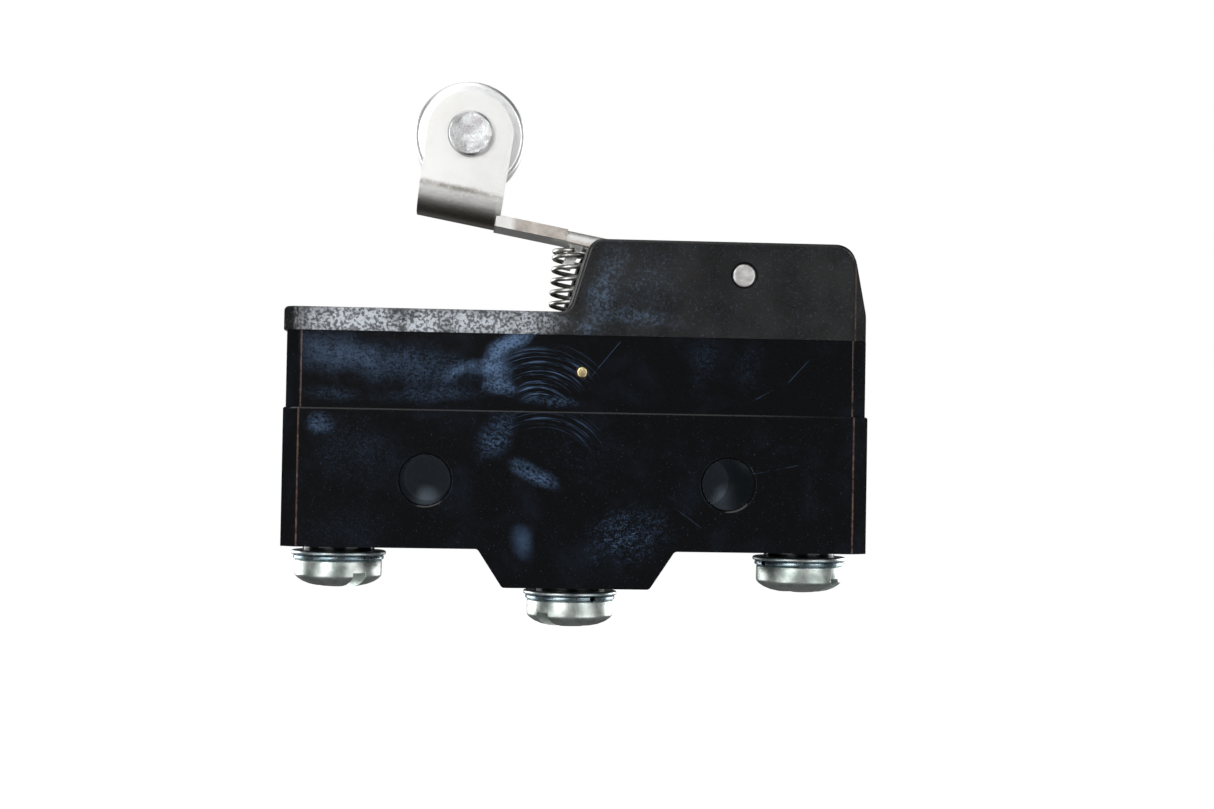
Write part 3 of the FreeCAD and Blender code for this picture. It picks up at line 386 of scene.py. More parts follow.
case_phenolic, tree, shader, place = shader_nodes("case_phenolic", PHENOLIC_BLACK, 0.15)
haze_and_sheen = haze_and_sheen_over(tree, place, CASE_HAZE_AND_SHEEN)
wipe = use_group(tree, wiping_arcs, {
    "Vector": place, "Centre": CASE_ARC_CENTRE, "Inner": 4.4 * MM, "Outer": 7.0 * MM,
    "From": 0.45, "To": 2.2,
})
haze_and_sheen = calc(tree, "ADD", haze_and_sheen, calc(tree, "MULTIPLY", wipe["Mask"], CASE_ARC_STRENGTH))
haze_and_sheen = scratches_over(tree, place, haze_and_sheen, CASE_SCRATCHES, CASE_SCRATCH_STRENGTH)
phenolic_finish(tree, shader, place, kept_to_front(tree, place, haze_and_sheen), WORN_EDGE_AND_HIGHLIGHT_X, PHENOLIC_BLACK)
case = rounded_copy("case", "moulded_case", CASE_EDGE)
dress(case, case_phenolic, "housing", "phenolic", "case")

# Terminals: stamped brass, each with a threaded neck in a boss of the case and a strip in the chamber.
# Their brass is dull, with a little tarnish.
ROUGHNESS_SPREAD = 0.06
BRASS = (0.80, 0.60, 0.28, 1)
TARNISH = (0.34, 0.20, 0.08, 1)

# Metal patina: soft patches of stain, and fine grain drawn out along the metal's working.
metal_patina, given, result = new_group("metal_patina", (
    ("Vector", VECTOR, (0, 0, 0)), ("Scale", NUMBER, 300.0), ("Stretch", VECTOR, (1, 1, 1)),
), ("Patches", "Fine"))
drawn_out = turned(metal_patina, given["Vector"], (0, 0, 0), (0, 0, 0), given["Stretch"])
patches = noise(metal_patina, given["Vector"], given["Scale"], 5.0, 0.6)
feed(metal_patina, result["Patches"], remap(metal_patina, patches, 0.35, 0.7))
finer_scale = calc(metal_patina, "MULTIPLY", given["Scale"], 12.0)
feed(metal_patina, result["Fine"], noise(metal_patina, drawn_out, finer_scale, 4.0, 0.6))


def metal_finish(name, clean, stained, roughness, scale, stretch=(1, 1, 1), depth=0.15, stain=1.0):
    """A metal with patches of stain, grain drawn out along stretch, and roughness that follows it."""
    material, tree, shader, place = shader_nodes(name, clean, roughness, 1.0)
    patina = use_group(tree, metal_patina, {"Vector": place, "Scale": scale, "Stretch": stretch})
    share = calc(tree, "MULTIPLY", patina["Patches"], stain)
    feed(tree, shader.inputs["Base Color"], blend_colours(tree, share, clean, stained))
    smooth, dull = roughness - ROUGHNESS_SPREAD, roughness + ROUGHNESS_SPREAD
    rough = remap(tree, patina["Fine"], 0.3, 0.7, smooth, dull)
    feed(tree, shader.inputs["Roughness"], rough)
    bump(tree, shader, patina["Fine"], depth, 0.02 * MM)
    return material


def dress_node(node, material):
    """Gives a CAD node that stays as it is its finish."""
    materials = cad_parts[node].data.materials
    materials.clear()
    materials.append(material)


terminal_brass = metal_finish("terminal_brass", BRASS, TARNISH, 0.32, 400.0)
for node in ("common_terminal", "normally_open_terminal", "normally_closed_terminal"):
    dress_node(node, terminal_brass)

# Contacts: silver alloy rivets on the blade and on the two fixed strips.
# Their faces are slightly darkened by use.
contact_silver = metal_finish("contact_silver", (0.86, 0.85, 0.82, 1), (0.42, 0.40, 0.38, 1), 0.28, 700.0)
for node in ("moving_contact", "normally_open_contact", "normally_closed_contact"):
    dress_node(node, contact_silver)

# Contact blade and snap spring: rolled spring bronze, with the roll's grain along their length.
# The snap spring is bowed between the blade and the common terminal's post.
spring_bronze = metal_finish("spring_bronze", (0.78, 0.50, 0.30, 1), (0.42, 0.22, 0.12, 1), 0.26, 500.0,
                             stretch=(8, 1, 1))
for node in ("contact_blade", "snap_spring"):
    dress_node(node, spring_bronze)

# Plunger: a turned red-brown phenolic rod that joins the lever's tail to the blade.
# Turning leaves fine rings on it.
plunger_phenolic, tree, shader, place = shader_nodes("plunger_phenolic", (0.10, 0.025, 0.012, 1), 0.4)
rings = turned(tree, place, (0, 0, 0), (0, 0, 0), (6, 6, 1))
grain = use_group(tree, moulding_grain, {"Vector": rings, "Scale": 5200.0})
shade = blend_colours(tree, grain["Patches"], (0.13, 0.034, 0.016, 1), (0.07, 0.018, 0.010, 1))
feed(tree, shader.inputs["Base Color"], shade)
bump(tree, shader, grain["Height"], 0.3, 0.01 * MM)
dress_node("plunger", plunger_phenolic)

# Cover: the middle moulding, of the same glossy phenolic and a little smaller than the case all round.
# A wipe has left arcs beside the cover pin and a haze with a wavy lower border on its left, where painted
# sheen of the light on the left strengthens the haze.
COVER_HAZE_AND_SHEEN = (
    (-19.8, 10.3, 4.8, 2.2, 10, 3400, 0.36, 0.34),
    (-14.0, 9.6, 7.5, 2.2, 6, 4200, 0.40, 0.29),
    (-20.5, 7.0, 3.8, 0.8, 4, 5200, 0.42, 0.18),
    (-12.5, 7.0, 5.5, 0.8, -4, 5200, 0.40, 0.22),
    (-6.0, 11.4, 3.0, 0.9, -30, 4200, 0.36, 1.0),
    (-7.4, 9.5, 2.2, 1.6, -10, 4600, 0.36, 1.0),
    (-6.8, 7.9, 1.8, 0.9, 12, 4600, 0.40, 0.9),
    (-9.8, 9.3, 2.0, 0.7, -32, 4600, 0.38, 0.45),
    (-2.4, 6.7, 3.0, 0.55, 2, 4600, 0.44, 0.55),
    (10.5, 9.8, 1.5, 3.4, 8, 3600, 0.44, 0.18),
    (14.2, 9.8, 2.0, 2.6, 8, 3600, 0.46, 0.13),
)
COVER_SCRATCHES = ((2.5, 10.7, -51, 6.5), (15.8, 7.7, -30, 2.5), (18.5, 9.6, -48, 3.0))
COVER_SCRATCH_STRENGTH = 0.2
COVER_ARC_CENTRE = (-3.3 * MM, 0, 4.6 * MM)
COVER_ARC_STRENGTH = 1.1
COVER_INSET = 0.12 * MM

cover_phenolic, tree, shader, place = shader_nodes("cover_phenolic", PHENOLIC_BLACK, 0.15)
haze_and_sheen = haze_and_sheen_over(tree, place, COVER_HAZE_AND_SHEEN)
wipe = use_group(tree, wiping_arcs, {
    "Vector": place, "Centre": COVER_ARC_CENTRE, "Inner": 2.0 * MM, "Outer": 7.4 * MM,
    "From": 0.60, "To": 2.25,
})
haze_and_sheen = calc(tree, "ADD", haze_and_sheen, calc(tree, "MULTIPLY", wipe["Mask"], COVER_ARC_STRENGTH))
haze_and_sheen = scratches_over(tree, place, haze_and_sheen, COVER_SCRATCHES, COVER_SCRATCH_STRENGTH)
haze_and_sheen = kept_to_front(tree, place, haze_and_sheen)
phenolic_finish(tree, shader, place, haze_and_sheen, WORN_EDGE_AND_HIGHLIGHT_X - COVER_INSET, PHENOLIC_BLACK)
cover = rounded_copy("cover", "moulded_cover", CASE_EDGE)
dress(cover, cover_phenolic, "housing", "phenolic", "cover")

# Cover pin: a thin brass pin pressed through the lug of the lever housing and the case's tongue.
# Its ends are flush with the faces and slightly scratched.
pin_brass = metal_finish("pin_brass", (0.92, 0.80, 0.50, 1), (0.72, 0.55, 0.28, 1), 0.30, 1500.0)
cover_pin = rounded_copy("cover_pin", "pressed_cover_pin", 0.04 * MM)
dress(cover_pin, pin_brass, "housing", "pin_brass", "cover_pin")

# Lever housing: the upper moulding, satin black with a fine grain, deeper than the cover's, and painted
# glints.
# Its ledge and the foot of its slanted face carry pale dust and a painted sheen of the light on the left,
# which fades to the right.
HOUSING_EDGE = 0.08 * MM
HOUSING_BLACK = (0.0030, 0.0031, 0.0036, 1)
HOUSING_DUST_AND_SHEEN = (
    (-18.5, 13.2, 8.5, 2.2, 1, 8000, 0.24, 1.0),
    (-8.0, 13.2, 9.5, 2.0, 1, 8000, 0.28, 0.75),
    (2.0, 16.2, 1.5, 5.6, 16, 7000, 0.34, 0.34),
    (5.6, 13.9, 4.4, 1.0, 8, 6000, 0.38, 0.34),
    (5.6, 17.0, 3.6, 3.8, 35, 6500, 0.42, 0.22),
    (12.0, 14.5, 7.0, 2.6, 10, 7000, 0.48, 0.10),
)
LEDGE_DUST_AND_SHEEN = (0.42, 0.45, 0.49, 1)
BLOCK_DUST_AND_SHEEN = (0.095, 0.150, 0.230, 1)
FAINTEST_GLINT = 0.25
BRIGHTEST_GLINT = 1.40
SPECK_STRENGTH = 0.16
LEDGE_END = -3.0 * MM
BLOCK_START = 0.8 * MM

housing_satin, tree, shader, place = shader_nodes("housing_satin", HOUSING_BLACK, 0.36)
# Pale dust with a painted sheen of the light on the left, on the front face only.
haze_and_sheen = calc(tree, "MINIMUM", kept_to_front(tree, place, haze_and_sheen_over(tree, place, HOUSING_DUST_AND_SHEEN)), 1.0)
grain = use_group(tree, moulding_grain, {"Vector": place, "Scale": 4300.0})
wear_and_highlight = use_group(tree, corner_wear_and_highlight, {"Vector": place, "Offset": WORN_EDGE_AND_HIGHLIGHT_X + 0.05 * MM})["Mask"]
# Painted glints: a noise that brightens the painted sheen in fine sparkles.
glints = remap(tree, noise(tree, place, 4200.0, 3.0), 0.40, 0.60, FAINTEST_GLINT, BRIGHTEST_GLINT)
specks = remap(tree, noise(tree, place, 7500.0, 2.0), 0.60, 0.70, 0.0, SPECK_STRENGTH)
dust_and_sheen_mask = calc(tree, "MULTIPLY", calc(tree, "ADD", haze_and_sheen, specks), glints)
on_block = remap(tree, parts_of(tree, place)[0], LEDGE_END, BLOCK_START)
# The painted sheen's tint, from grey on the ledge to blue on the block.
dust_and_sheen = blend_colours(tree, on_block, LEDGE_DUST_AND_SHEEN, BLOCK_DUST_AND_SHEEN)
colour = blend_colours(tree, dust_and_sheen_mask, HOUSING_BLACK, dust_and_sheen)
feed(tree, shader.inputs["Base Color"], blend_colours(tree, wear_and_highlight, colour, WORN_EDGE_AND_HIGHLIGHT))
feed(tree, shader.inputs["Roughness"], remap(tree, grain["Patches"], 0.0, 1.0, 0.27, 0.36))
shader.inputs["Specular IOR Level"].default_value = 0.45
bump(tree, shader, grain["Height"], 0.7, 0.016 * MM)
housing = rounded_copy("lever_housing", "moulded_lever_housing", HOUSING_EDGE)
dress(housing, housing_satin, "housing", "housing_moulding", "lever_housing")

# Pivot pin: a steel pin across the lever housing, cut square, with a matt end in a recess.
pin_steel = metal_finish("pin_steel", (0.70, 0.70, 0.70, 1), (0.46, 0.45, 0.44, 1), 0.45, 1400.0, depth=0.5)
pivot_pin = rounded_copy("pivot_pin", "cut_pivot_pin", 0.06 * MM)
dress(pivot_pin, pin_steel, "housing", "pin_steel", "pivot_pin")

# Return spring: drawn steel wire, coiled with its end turns closed, which holds the lever up.
# It stands in a well of the ledge and leans a little towards the block.
WIRE_RADIUS = 0.20 * MM
WIRE_SIDES = 12
STEPS_PER_TURN = 40
CLOSED_PITCH = 0.43 * MM
OPEN_TURNS = 5.5
COIL_LEAN = 3.0
COIL_SEAT = 0.02 * MM
COIL_TOP_GAP = 0.30 * MM

spring_low, spring_high = (Vector(corner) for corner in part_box("return_spring"))
coil_centre_x = -0.55 * MM
coil_radius = 1.65 * MM
coil_low = spring_low.z + WIRE_RADIUS + COIL_SEAT
coil_high = spring_high.z - WIRE_RADIUS - COIL_TOP_GAP
open_pitch = (coil_high - coil_low - 2 * CLOSED_PITCH) / OPEN_TURNS

coil_mesh = bpy.data.meshes.new("coiled_return_spring")
coil = bpy.data.objects.new("coiled_return_spring", coil_mesh)
bpy.context.scene.collection.objects.link(coil)
shape = bmesh.new()
start = Matrix.Translation((coil_radius, 0, coil_low)) @ Matrix.Rotation(math.pi / 2, 4, "X")
last = bmesh.ops.create_circle(shape, segments=WIRE_SIDES, radius=WIRE_RADIUS, matrix=start)["verts"]
last = [*last, *{edge for vert in last for edge in vert.link_edges}]
for turns, pitch in ((1.0, CLOSED_PITCH), (OPEN_TURNS, open_pitch), (1.0, CLOSED_PITCH)):
    steps = round(turns * STEPS_PER_TURN)
    last = bmesh.ops.spin(shape, geom=last, cent=(0, 0, 0), axis=(0, 0, 1), angle=2 * math.pi * turns,
                          dvec=(0, 0, pitch / STEPS_PER_TURN), steps=steps)["geom_last"]
bmesh.ops.remove_doubles(shape, verts=shape.verts, dist=1e-7)
bmesh.ops.holes_fill(shape, edges=[edge for edge in shape.edges if edge.is_boundary])
bmesh.ops.recalc_face_normals(shape, faces=shape.faces)
for face in shape.faces:
    face.smooth = len(face.verts) == 4
lean = Matrix.Translation((coil_centre_x, 0, coil_low)) @ Matrix.Rotation(math.radians(COIL_LEAN), 4, "Y")
lean = lean @ Matrix.Rotation(math.radians(90), 4, "Z") @ Matrix.Translation((0, 0, -coil_low))
bmesh.ops.transform(shape, matrix=lean, verts=shape.verts)
shape.to_mesh(coil_mesh)
shape.free()
spring_steel = metal_finish("spring_steel", (0.62, 0.62, 0.60, 1), (0.34, 0.33, 0.31, 1), 0.36, 900.0)
dress(coil, spring_steel, "housing", "spring_steel", "return_spring")
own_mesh(coil)

# Lever: one piece of satin steel sheet, blanked and bent, with ears for the roller and flanges for
# the pivot. Its sheared edges are warmer and rougher, the bending tool has left a scuffed line across
# the ear, and painted shade darkens the bend underneath.
LEVER_EDGE = 0.16 * MM
LEVER_PIVOT = (13.76 * MM, 0, 17.61 * MM)
LEVER_TILT = math.radians(10.4)
SHEARED_STEEL = (0.74, 0.70, 0.65, 1)
SHEARED_STAIN = (0.36, 0.31, 0.27, 1)
SCUFF_PLACE = (-10.35 * MM, 0, 24.95 * MM)
SCUFF_SHADE = (0.30, 0.27, 0.24, 1)
BEND_PAINTED_SHADE = (0.20, 0.175, 0.13, 1)
BEND_PAINTED_SHADE_SHARE = 0.8

lever_steel, tree, shader, place = shader_nodes("lever_steel", (0.92, 0.91, 0.89, 1), 0.42, 1.0)
patina = use_group(tree, metal_patina, {"Vector": place, "Scale": 350.0, "Stretch": (1, 1, 1)})
scuff = use_group(tree, haze_patch, {
    "Vector": place, "Place": SCUFF_PLACE, "Turn": (0, LEVER_TILT, 0),
    "Reach": (4.6 * MM, 1, 0.42 * MM), "Grain": 4200.0, "Cover": 0.30,
})["Mask"]
stain = calc(tree, "MULTIPLY", patina["Patches"], 0.35)
colour = blend_colours(tree, stain, (0.90, 0.90, 0.885, 1), (0.78, 0.76, 0.72, 1))
x, y, z = parts_of(tree, place)
sheared = calc(tree, "MULTIPLY", remap(tree, x, -5.9 * MM, -5.2 * MM),
               remap(tree, calc(tree, "ABSOLUTE", y, 0.0), 2.84 * MM, 2.96 * MM))
warm = blend_colours(tree, patina["Patches"], SHEARED_STEEL, SHEARED_STAIN)
colour = blend_colours(tree, sheared, colour, warm)
# Painted shade on the lower part of the bend, darkest near the arm's level and fading upward, left of the
# arm.
above_arm = parts_of(tree, turned(tree, place, LEVER_PIVOT, (0, LEVER_TILT, 0), (1, 1, 1)))[2]
painted_bend_shade = calc(tree, "MULTIPLY", remap(tree, above_arm, 0.7 * MM, 2.3 * MM, BEND_PAINTED_SHADE_SHARE, 0.0),
             remap(tree, x, -7.3 * MM, -7.0 * MM, 1.0, 0.0))
colour = blend_colours(tree, painted_bend_shade, colour, BEND_PAINTED_SHADE)
feed(tree, shader.inputs["Base Color"], blend_colours(tree, scuff, colour, SCUFF_SHADE))
feed(tree, shader.inputs["Roughness"], remap(tree, patina["Fine"], 0.3, 0.7, 0.36, 0.48))
bump(tree, shader, patina["Fine"], 0.35, 0.02 * MM)
lever = rounded_copy("lever", "pressed_lever", LEVER_EDGE, angle=35.0)
dress(lever, lever_steel, "lever", "lever_steel", "lever")


def turned_piece(name, profile, segments=96):
    """A solid of revolution about Z, spun from a profile of (radius, height) points."""
    mesh = bpy.data.meshes.new(name)
    piece = bpy.data.objects.new(name, mesh)
    bpy.context.scene.collection.objects.link(piece)
    shape = bmesh.new()
    corners = [shape.verts.new((radius, 0, height)) for radius, height in profile]
    edges = [shape.edges.new(pair) for pair in zip(corners, corners[1:])]
    bmesh.ops.spin(shape, geom=[*corners, *edges], cent=(0, 0, 0), axis=(0, 0, 1), angle=2 * math.pi,
                   steps=segments, use_merge=True)
    bmesh.ops.remove_doubles(shape, verts=shape.verts, dist=1e-7)
    bmesh.ops.recalc_face_normals(shape, faces=shape.faces)
    for face in shape.faces:
        face.smooth = True
    shape.to_mesh(mesh)
    shape.free()
    return piece


def set_in_place(piece, matrix):
    piece.data.transform(matrix)
    piece.data.update()


# Roller: turned steel with broken edges, free on its rivet.
# Its rim is polished by the cam and its faces are satin.
ROLLER_AXIS = Vector((-9.45, 0, 29.65)) * MM
ROLLER_RADIUS = 4.75 * MM
ROLLER_HALF_WIDTH = 2.4 * MM
ROLLER_BORE = 1.3 * MM
ROLLER_CORNER = 0.3 * MM
across = Matrix.Translation(ROLLER_AXIS) @ Matrix.Rotation(math.pi / 2, 4, "X")

roller = turned_piece("turned_roller", (
    (ROLLER_BORE, -ROLLER_HALF_WIDTH), (ROLLER_RADIUS - ROLLER_CORNER, -ROLLER_HALF_WIDTH),
    (ROLLER_RADIUS, -ROLLER_HALF_WIDTH + ROLLER_CORNER), (ROLLER_RADIUS, ROLLER_HALF_WIDTH - ROLLER_CORNER),
    (ROLLER_RADIUS - ROLLER_CORNER, ROLLER_HALF_WIDTH), (ROLLER_BORE, ROLLER_HALF_WIDTH),
    (ROLLER_BORE, -ROLLER_HALF_WIDTH),
), 128)
set_in_place(roller, across)
round_edges(roller, 0.10 * MM, 3, 30.0)
roller_steel = metal_finish("roller_steel", (0.96, 0.97, 0.97, 1), (0.88, 0.88, 0.87, 1), 0.40, 500.0,
                            depth=0.2, stain=0.3)
dress(roller, roller_steel, "roller", "roller_steel", "roller")

# Roller rivet: a steel rivet across both ears, with a conical dimple punched in each head.
# Punching has left the cone finely pitted.
RIVET_RADIUS = 1.25 * MM
RIVET_HEAD_RADIUS = 1.95 * MM
EAR_FACE = 3.7 * MM
RIVET_TOP = 4.4 * MM
DIMPLE_DEPTH = 0.42 * MM

half_rivet = (
    (0, RIVET_TOP - DIMPLE_DEPTH), (RIVET_HEAD_RADIUS - 0.22 * MM, RIVET_TOP - 0.03 * MM),
    (RIVET_HEAD_RADIUS - 0.10 * MM, RIVET_TOP - 0.05 * MM), (RIVET_HEAD_RADIUS, RIVET_TOP - 0.20 * MM),
    (RIVET_HEAD_RADIUS, EAR_FACE + 0.005 * MM), (RIVET_RADIUS, EAR_FACE + 0.005 * MM),
)
rivet = turned_piece("dimpled_roller_rivet", (
    *half_rivet, *((radius, -height) for radius, height in reversed(half_rivet)),
))
set_in_place(rivet, across)
round_edges(rivet, 0.05 * MM, 2, 40.0)
rivet_steel = metal_finish("rivet_steel", (0.60, 0.61, 0.62, 1), (0.40, 0.39, 0.39, 1), 0.24, 900.0,
                           depth=0.10)
dress(rivet, rivet_steel, "lever", "rivet_steel", "roller_rivet")

# Terminal screws: zinc-plated steel pan heads with a slot across a cross recess, each above two washers.
# The plating is bright, with a blue-green bloom. The upper washer clamps the wire, the lower is sprung.
# Each screw is its place, x and the terminal's face in millimetres, and the slot's turn in degrees.
SCREWS = (("left", -20.15, -6.3, -58.0), ("middle", 0.0, -9.5, 47.0), ("right", 20.15, -6.3, -42.0))
SHANK_RADIUS = 1.95 * MM
THREAD_DEPTH = 0.28 * MM
THREAD_PITCH = 0.7 * MM
THREAD_STEPS = 36
HEAD_RADIUS = 3.75 * MM
HEAD_HEIGHT = 2.35 * MM
SLOT_WIDTH = 1.2 * MM
SLOT_DEPTH = 1.30 * MM
CROSS_LENGTH = 4.2 * MM
CROSS_DEPTH = 1.65 * MM
PAST_CROWN = -4 * MM
WASHER = 0.4 * MM
WASHER_BORE = 2.15 * MM
LOCK_SPLIT = 0.5 * MM
LOCK_TURN = 70
CROWN = ((3.75, 1.25), (3.70, 1.42), (3.52, 1.62), (3.10, 1.90), (2.55, 2.12), (1.90, 2.26),
         (1.00, 2.335), (0.0, 2.35))
SCREW_TIP = 4.0 * MM

screw_zinc = metal_finish("screw_zinc", (0.76, 0.81, 0.78, 1), (0.36, 0.43, 0.40, 1), 0.37, 560.0,
                          depth=0.25)
washer_zinc = metal_finish("washer_zinc", (0.72, 0.77, 0.77, 1), (0.36, 0.45, 0.47, 1), 0.34, 600.0,
                           depth=0.25)
washer_steel = metal_finish("washer_steel", (0.34, 0.42, 0.46, 1), (0.15, 0.22, 0.26, 1), 0.26, 600.0,
                            depth=0.2)


def cut_with(piece, *cutters):
    """The piece with box-shaped cutters taken out of it, as a plain mesh."""
    for cutter in cutters:
        cutting = piece.modifiers.new("cut", "BOOLEAN")
        cutting.operation = "DIFFERENCE"
        cutting.solver = "EXACT"
        cutting.object = cutter
    bpy.context.view_layer.update()
    made = bpy.data.meshes.new_from_object(piece.evaluated_get(bpy.context.evaluated_depsgraph_get()))
    piece.modifiers.clear()
    old = piece.data
    piece.data = made
    bpy.data.meshes.remove(old)
    for cutter in cutters:
        bpy.data.objects.remove(cutter)


def cutting_box(length, width, low, high):
    mesh = bpy.data.meshes.new("cutter")
    cutter = bpy.data.objects.new("cutter", mesh)
    bpy.context.scene.collection.objects.link(cutter)
    shape = bmesh.new()
    scale = Matrix.Diagonal((length, width, high - low, 1))
    bmesh.ops.create_cube(shape, size=1.0, matrix=Matrix.Translation((0, 0, (low + high) / 2)) @ scale)
    shape.to_mesh(mesh)
    shape.free()
    return cutter


def threaded_shank(shape, low, high):
    """A screw thread along Z: one tooth's outline, spun round and lifted by a pitch each turn."""
    turns = (high - low) / THREAD_PITCH - 1
    root = SHANK_RADIUS - THREAD_DEPTH
    outline = ((root, 0.0), (SHANK_RADIUS, 0.42), (SHANK_RADIUS, 0.58), (root, 1.0))
    corners = [shape.verts.new((radius, 0, low + share * THREAD_PITCH)) for radius, share in outline]
    edges = [shape.edges.new(pair) for pair in zip(corners, corners[1:])]
    steps = round(turns * THREAD_STEPS)
    bmesh.ops.spin(shape, geom=[*corners, *edges], cent=(0, 0, 0), axis=(0, 0, 1), steps=steps,
                   angle=2 * math.pi * turns, dvec=(0, 0, turns * THREAD_PITCH / steps))


for where, x, seat, turn in SCREWS:
    head = turned_piece("terminal_screw_head_" + where, (
        (0, 0), (HEAD_RADIUS - 0.12 * MM, 0), (HEAD_RADIUS, -0.12 * MM),
        *((radius * MM, -height * MM) for radius, height in CROWN),
    ))
    slot = cutting_box(10 * MM, SLOT_WIDTH, PAST_CROWN, -HEAD_HEIGHT + SLOT_DEPTH)
    cross = cutting_box(SLOT_WIDTH, CROSS_LENGTH, PAST_CROWN, -HEAD_HEIGHT + CROSS_DEPTH)
    cut_with(head, slot, cross)
    head_top = seat * MM - 2 * WASHER
    shape = bmesh.new()
    shape.from_mesh(head.data)
    low = -0.2 * MM
    high = SCREW_TIP + 2 * WASHER
    bmesh.ops.create_cone(shape, cap_ends=True, segments=48, radius1=SHANK_RADIUS - THREAD_DEPTH,
                          radius2=SHANK_RADIUS - THREAD_DEPTH, depth=high - low,
                          matrix=Matrix.Translation((0, 0, (low + high) / 2)))
    threaded_shank(shape, 0.1 * MM, high - 0.3 * MM)
    bmesh.ops.recalc_face_normals(shape, faces=shape.faces)
    for face in shape.faces:
        face.smooth = True
    shape.to_mesh(head.data)
    shape.free()
    slot_turn = Matrix.Rotation(math.radians(turn), 4, "Z")
    set_in_place(head, Matrix.Translation((x * MM, 0, head_top)) @ slot_turn)
    round_edges(head, 0.07 * MM, 2, 40.0)
    dress(head, screw_zinc, "screw_" + where, "screw_zinc", "terminal_screw_" + where)

    clamp = turned_piece("clamp_washer_ring_" + where, (
        (WASHER_BORE, -WASHER), (3.9 * MM, -WASHER), (4.05 * MM, -0.34 * MM), (4.1 * MM, -0.2 * MM),
        (4.05 * MM, -0.06 * MM), (3.9 * MM, -0.005 * MM), (WASHER_BORE, -0.005 * MM),
        (WASHER_BORE, -WASHER),
    ))
    set_in_place(clamp, Matrix.Translation((x * MM, 0, seat * MM)))
    round_edges(clamp, 0.04 * MM, 2, 50.0)
    dress(clamp, washer_zinc, "washers_" + where, "washer_zinc", "clamp_washer_" + where)

    lock = turned_piece("lock_washer_ring_" + where, (
        (WASHER_BORE, -0.38 * MM), (3.8 * MM, -0.38 * MM), (3.9 * MM, -0.3 * MM), (3.9 * MM, -0.1 * MM),
        (3.8 * MM, -0.02 * MM), (WASHER_BORE, -0.02 * MM), (WASHER_BORE, -0.38 * MM),
    ))
    cut_with(lock, cutting_box(12 * MM, LOCK_SPLIT, -1 * MM, 1 * MM))
    split_turn = Matrix.Rotation(math.radians(turn + LOCK_TURN), 4, "Z")
    set_in_place(lock, Matrix.Translation((x * MM, 0, seat * MM - WASHER)) @ split_turn)
    round_edges(lock, 0.04 * MM, 2, 50.0)
    dress(lock, washer_steel, "washers_" + where, "washer_steel", "lock_washer_" + where)

# Studio: a small pale floor that fades into a white background, soft lights and the camera.
# The floor lies low enough for the screws to be let out, and isn't seen from below.
FLOOR_RADIUS = 0.15
FLOOR_FADE_START = 0.05
FLOOR_FADE_END = 0.14
FLOOR_GAP = 3.0 * MM

floor_mesh = bpy.data.meshes.new("floor")
floor = bpy.data.objects.new("floor", floor_mesh)
bpy.context.scene.collection.objects.link(floor)
shape = bmesh.new()
bmesh.ops.create_circle(shape, cap_ends=True, segments=96, radius=FLOOR_RADIUS,
                        matrix=Matrix.Translation((0, 0, cad_box[0][2] - FLOOR_GAP)))
shape.to_mesh(floor_mesh)
shape.free()
pale, tree, shader, place = shader_nodes("pale_floor", (0.25, 0.25, 0.25, 1), 0.6)
shader.inputs["Emission Color"].default_value = (1, 1, 1, 1)
shader.inputs["Emission Strength"].default_value = 0.93
distance = tree.nodes.new("ShaderNodeVectorMath")
distance.operation = "LENGTH"
tree.links.new(place, distance.inputs[0])
below = tree.nodes.new("ShaderNodeNewGeometry").outputs["Backfacing"]
fade = remap(tree, distance.outputs["Value"], FLOOR_FADE_START, FLOOR_FADE_END, 1.0, 0.0)
feed(tree, shader.inputs["Alpha"], calc(tree, "MULTIPLY", fade, calc(tree, "SUBTRACT", 1.0, below)))
floor_mesh.materials.append(pale)
floor.visible_glossy = False
floor.visible_shadow = False

world = bpy.data.worlds.new("studio")
bpy.context.scene.world = world
world.use_nodes = True
tree = world.node_tree
background = tree.nodes["Background"]
rays = tree.nodes.new("ShaderNodeLightPath")
feed(tree, background.inputs["Strength"], remap(tree, rays.outputs["Is Camera Ray"], 0.0, 1.0, 0.10, 1.0))
background.inputs["Color"].default_value = (1, 1, 1, 1)

# Each lamp is its name, its angles round from the front and up in degrees, its distance, width and
# height in metres and its power in watts. All are aimed at the middle of the body.
LAMPS = (
    ("overhead", -60, 75, 0.35, 0.30, 0.30, 0.5),
    ("left_front", -30, 11, 0.36, 0.18, 0.26, 0.62),
    ("right_front", 37, 14, 0.36, 0.18, 0.22, 0.34),
    ("left_side", -125, 4, 0.34, 0.24, 0.24, 0.8),
    ("right_side", 125, 4, 0.34, 0.24, 0.24, 0.8),
    ("low_left", -46, -30, 0.34, 0.24, 0.20, 0.24),
    ("low_right", 44, -30, 0.34, 0.24, 0.20, 0.26),
    ("high_front", -6, 46, 0.36, 0.30, 0.10, 0.14),
    ("hole_lamp", -4, 11, 0.40, 0.03, 0.02, 0.03),
)
LAMP_AIM = Vector((0, 0, 0.008))

for name, azimuth, elevation, distance, width, height, power in LAMPS:
    round_from_front, above = math.radians(azimuth), math.radians(elevation)
    toward = Vector((math.sin(round_from_front) * math.cos(above),
                     -math.cos(round_from_front) * math.cos(above), math.sin(above)))
    stand = LAMP_AIM + distance * toward
    lamp = bpy.data.lights.new(name, "AREA")
    lamp.shape = "RECTANGLE"
    lamp.size = width
    lamp.size_y = height
    lamp.energy = power
    holder = bpy.data.objects.new(name, lamp)
    holder.location = stand
    holder.rotation_euler = (LAMP_AIM - stand).to_track_quat("-Z", "Y").to_euler()
    bpy.context.scene.collection.objects.link(holder)

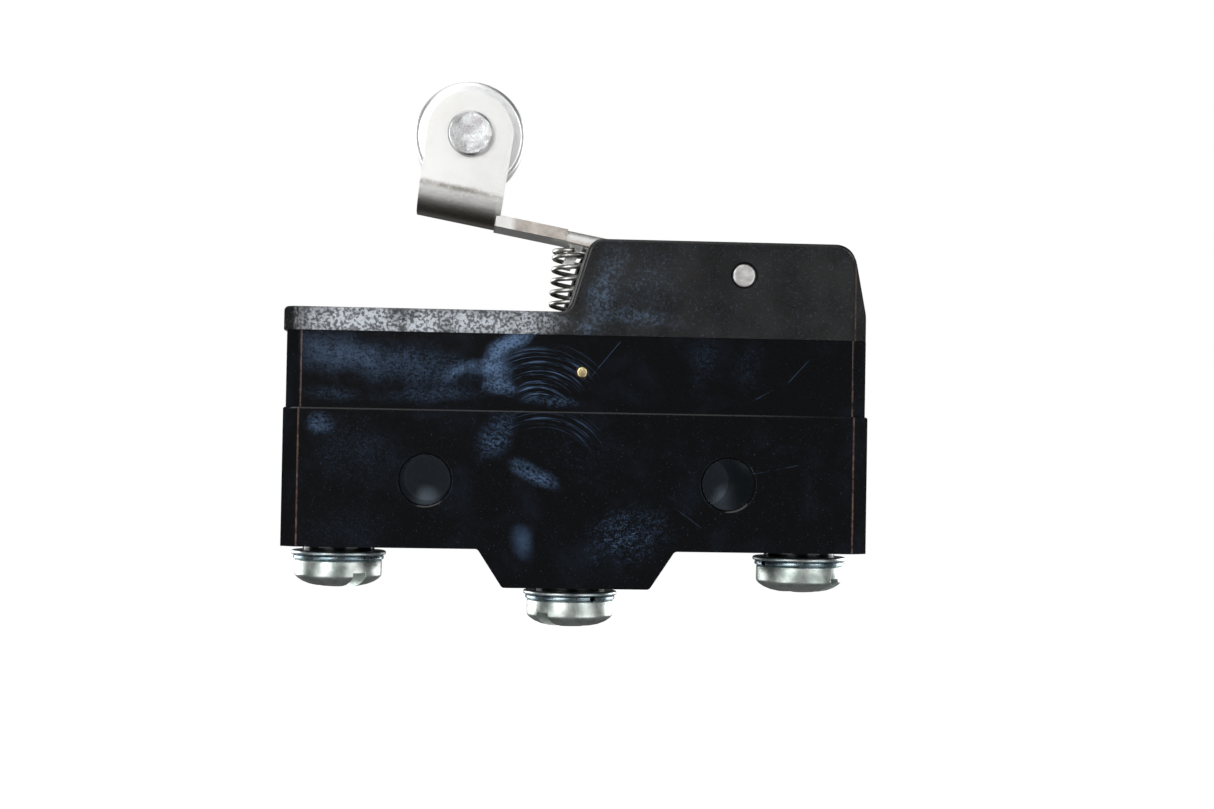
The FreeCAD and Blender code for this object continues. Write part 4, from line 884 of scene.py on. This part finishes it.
# Two discs in the holes' far mouths stand for the shaded table that the real body lies on.
# They are seen from the front only: their shade, and the paler patch where light falls through each hole,
# are painted and glow by their own emission.
TABLE_SHADE = (0.008, 0.010, 0.012, 1)
TABLE_GLOW = (0.052, 0.064, 0.080, 1)
HOLE_MOUTHS = ((-12.7 * MM, 2.16 * MM), (12.7 * MM, 2.24 * MM))
INSIDE_BACK = 0.05 * MM
GLOW_PLACES = ((-12.9 * MM, -2.0 * MM), (14.2 * MM, -1.3 * MM))
GLOW_REACH = (1.2 * MM, 1, 1.5 * MM)

disc_mesh = bpy.data.meshes.new("table_in_holes")
discs = bpy.data.objects.new("table_in_holes", disc_mesh)
bpy.context.scene.collection.objects.link(discs)
shape = bmesh.new()
for x, radius in HOLE_MOUTHS:
    lay = Matrix.Translation((x, cad_box[1][1] - INSIDE_BACK, 0)) @ Matrix.Rotation(math.pi / 2, 4, "X")
    bmesh.ops.create_circle(shape, cap_ends=True, segments=128, radius=radius, matrix=lay)
shape.to_mesh(disc_mesh)
shape.free()
table, tree, shader, place = shader_nodes("shaded_table", (0.62, 0.70, 0.82, 1), 0.8)
behind = tree.nodes.new("ShaderNodeNewGeometry").outputs["Backfacing"]
feed(tree, shader.inputs["Alpha"], calc(tree, "SUBTRACT", 1.0, behind))
glow = 0.0
for x, z in GLOW_PLACES:
    spot = use_group(tree, haze_patch, {
        "Vector": place, "Place": (x, 0, z), "Reach": GLOW_REACH, "Cover": -1.0,
    })
    glow = calc(tree, "ADD", glow, spot["Mask"])
feed(tree, shader.inputs["Emission Color"], blend_colours(tree, glow, TABLE_SHADE, TABLE_GLOW))
shader.inputs["Emission Strength"].default_value = 1.0
disc_mesh.materials.append(table)
discs.visible_diffuse = False
discs.visible_shadow = False

# The camera stands where the photograph was taken from, a little left of the middle and level with
# the holes.
IMAGE_WIDTH = 1214
FOCAL_PIXELS = 2158
SENSOR_WIDTH = 36.0
CAMERA_PLACE = Vector((-10.42, -188.72, 2.47)) * MM
CAMERA_YAW = math.radians(4.06)
CAMERA_PITCH = math.radians(1.29)
CAMERA_ROLL = math.radians(0.99)

forward = Vector((math.sin(CAMERA_YAW) * math.cos(CAMERA_PITCH),
                  math.cos(CAMERA_YAW) * math.cos(CAMERA_PITCH), math.sin(CAMERA_PITCH)))
level_right = Vector((math.cos(CAMERA_YAW), -math.sin(CAMERA_YAW), 0))
level_up = level_right.cross(forward)
right = level_right * math.cos(CAMERA_ROLL) + level_up * math.sin(CAMERA_ROLL)
up = level_up * math.cos(CAMERA_ROLL) - level_right * math.sin(CAMERA_ROLL)
lens = bpy.data.cameras.new("camera")
lens.sensor_width = SENSOR_WIDTH
lens.lens = FOCAL_PIXELS / IMAGE_WIDTH * SENSOR_WIDTH
lens.clip_start = 0.005
camera = bpy.data.objects.new("camera", lens)
camera.matrix_world = Matrix.Translation(CAMERA_PLACE) @ Matrix((right, up, -forward)).transposed().to_4x4()
bpy.context.scene.collection.objects.link(camera)
bpy.context.scene.camera = camera
bpy.context.scene.view_settings.view_transform = "Standard"

bpy.context.view_layer.update()
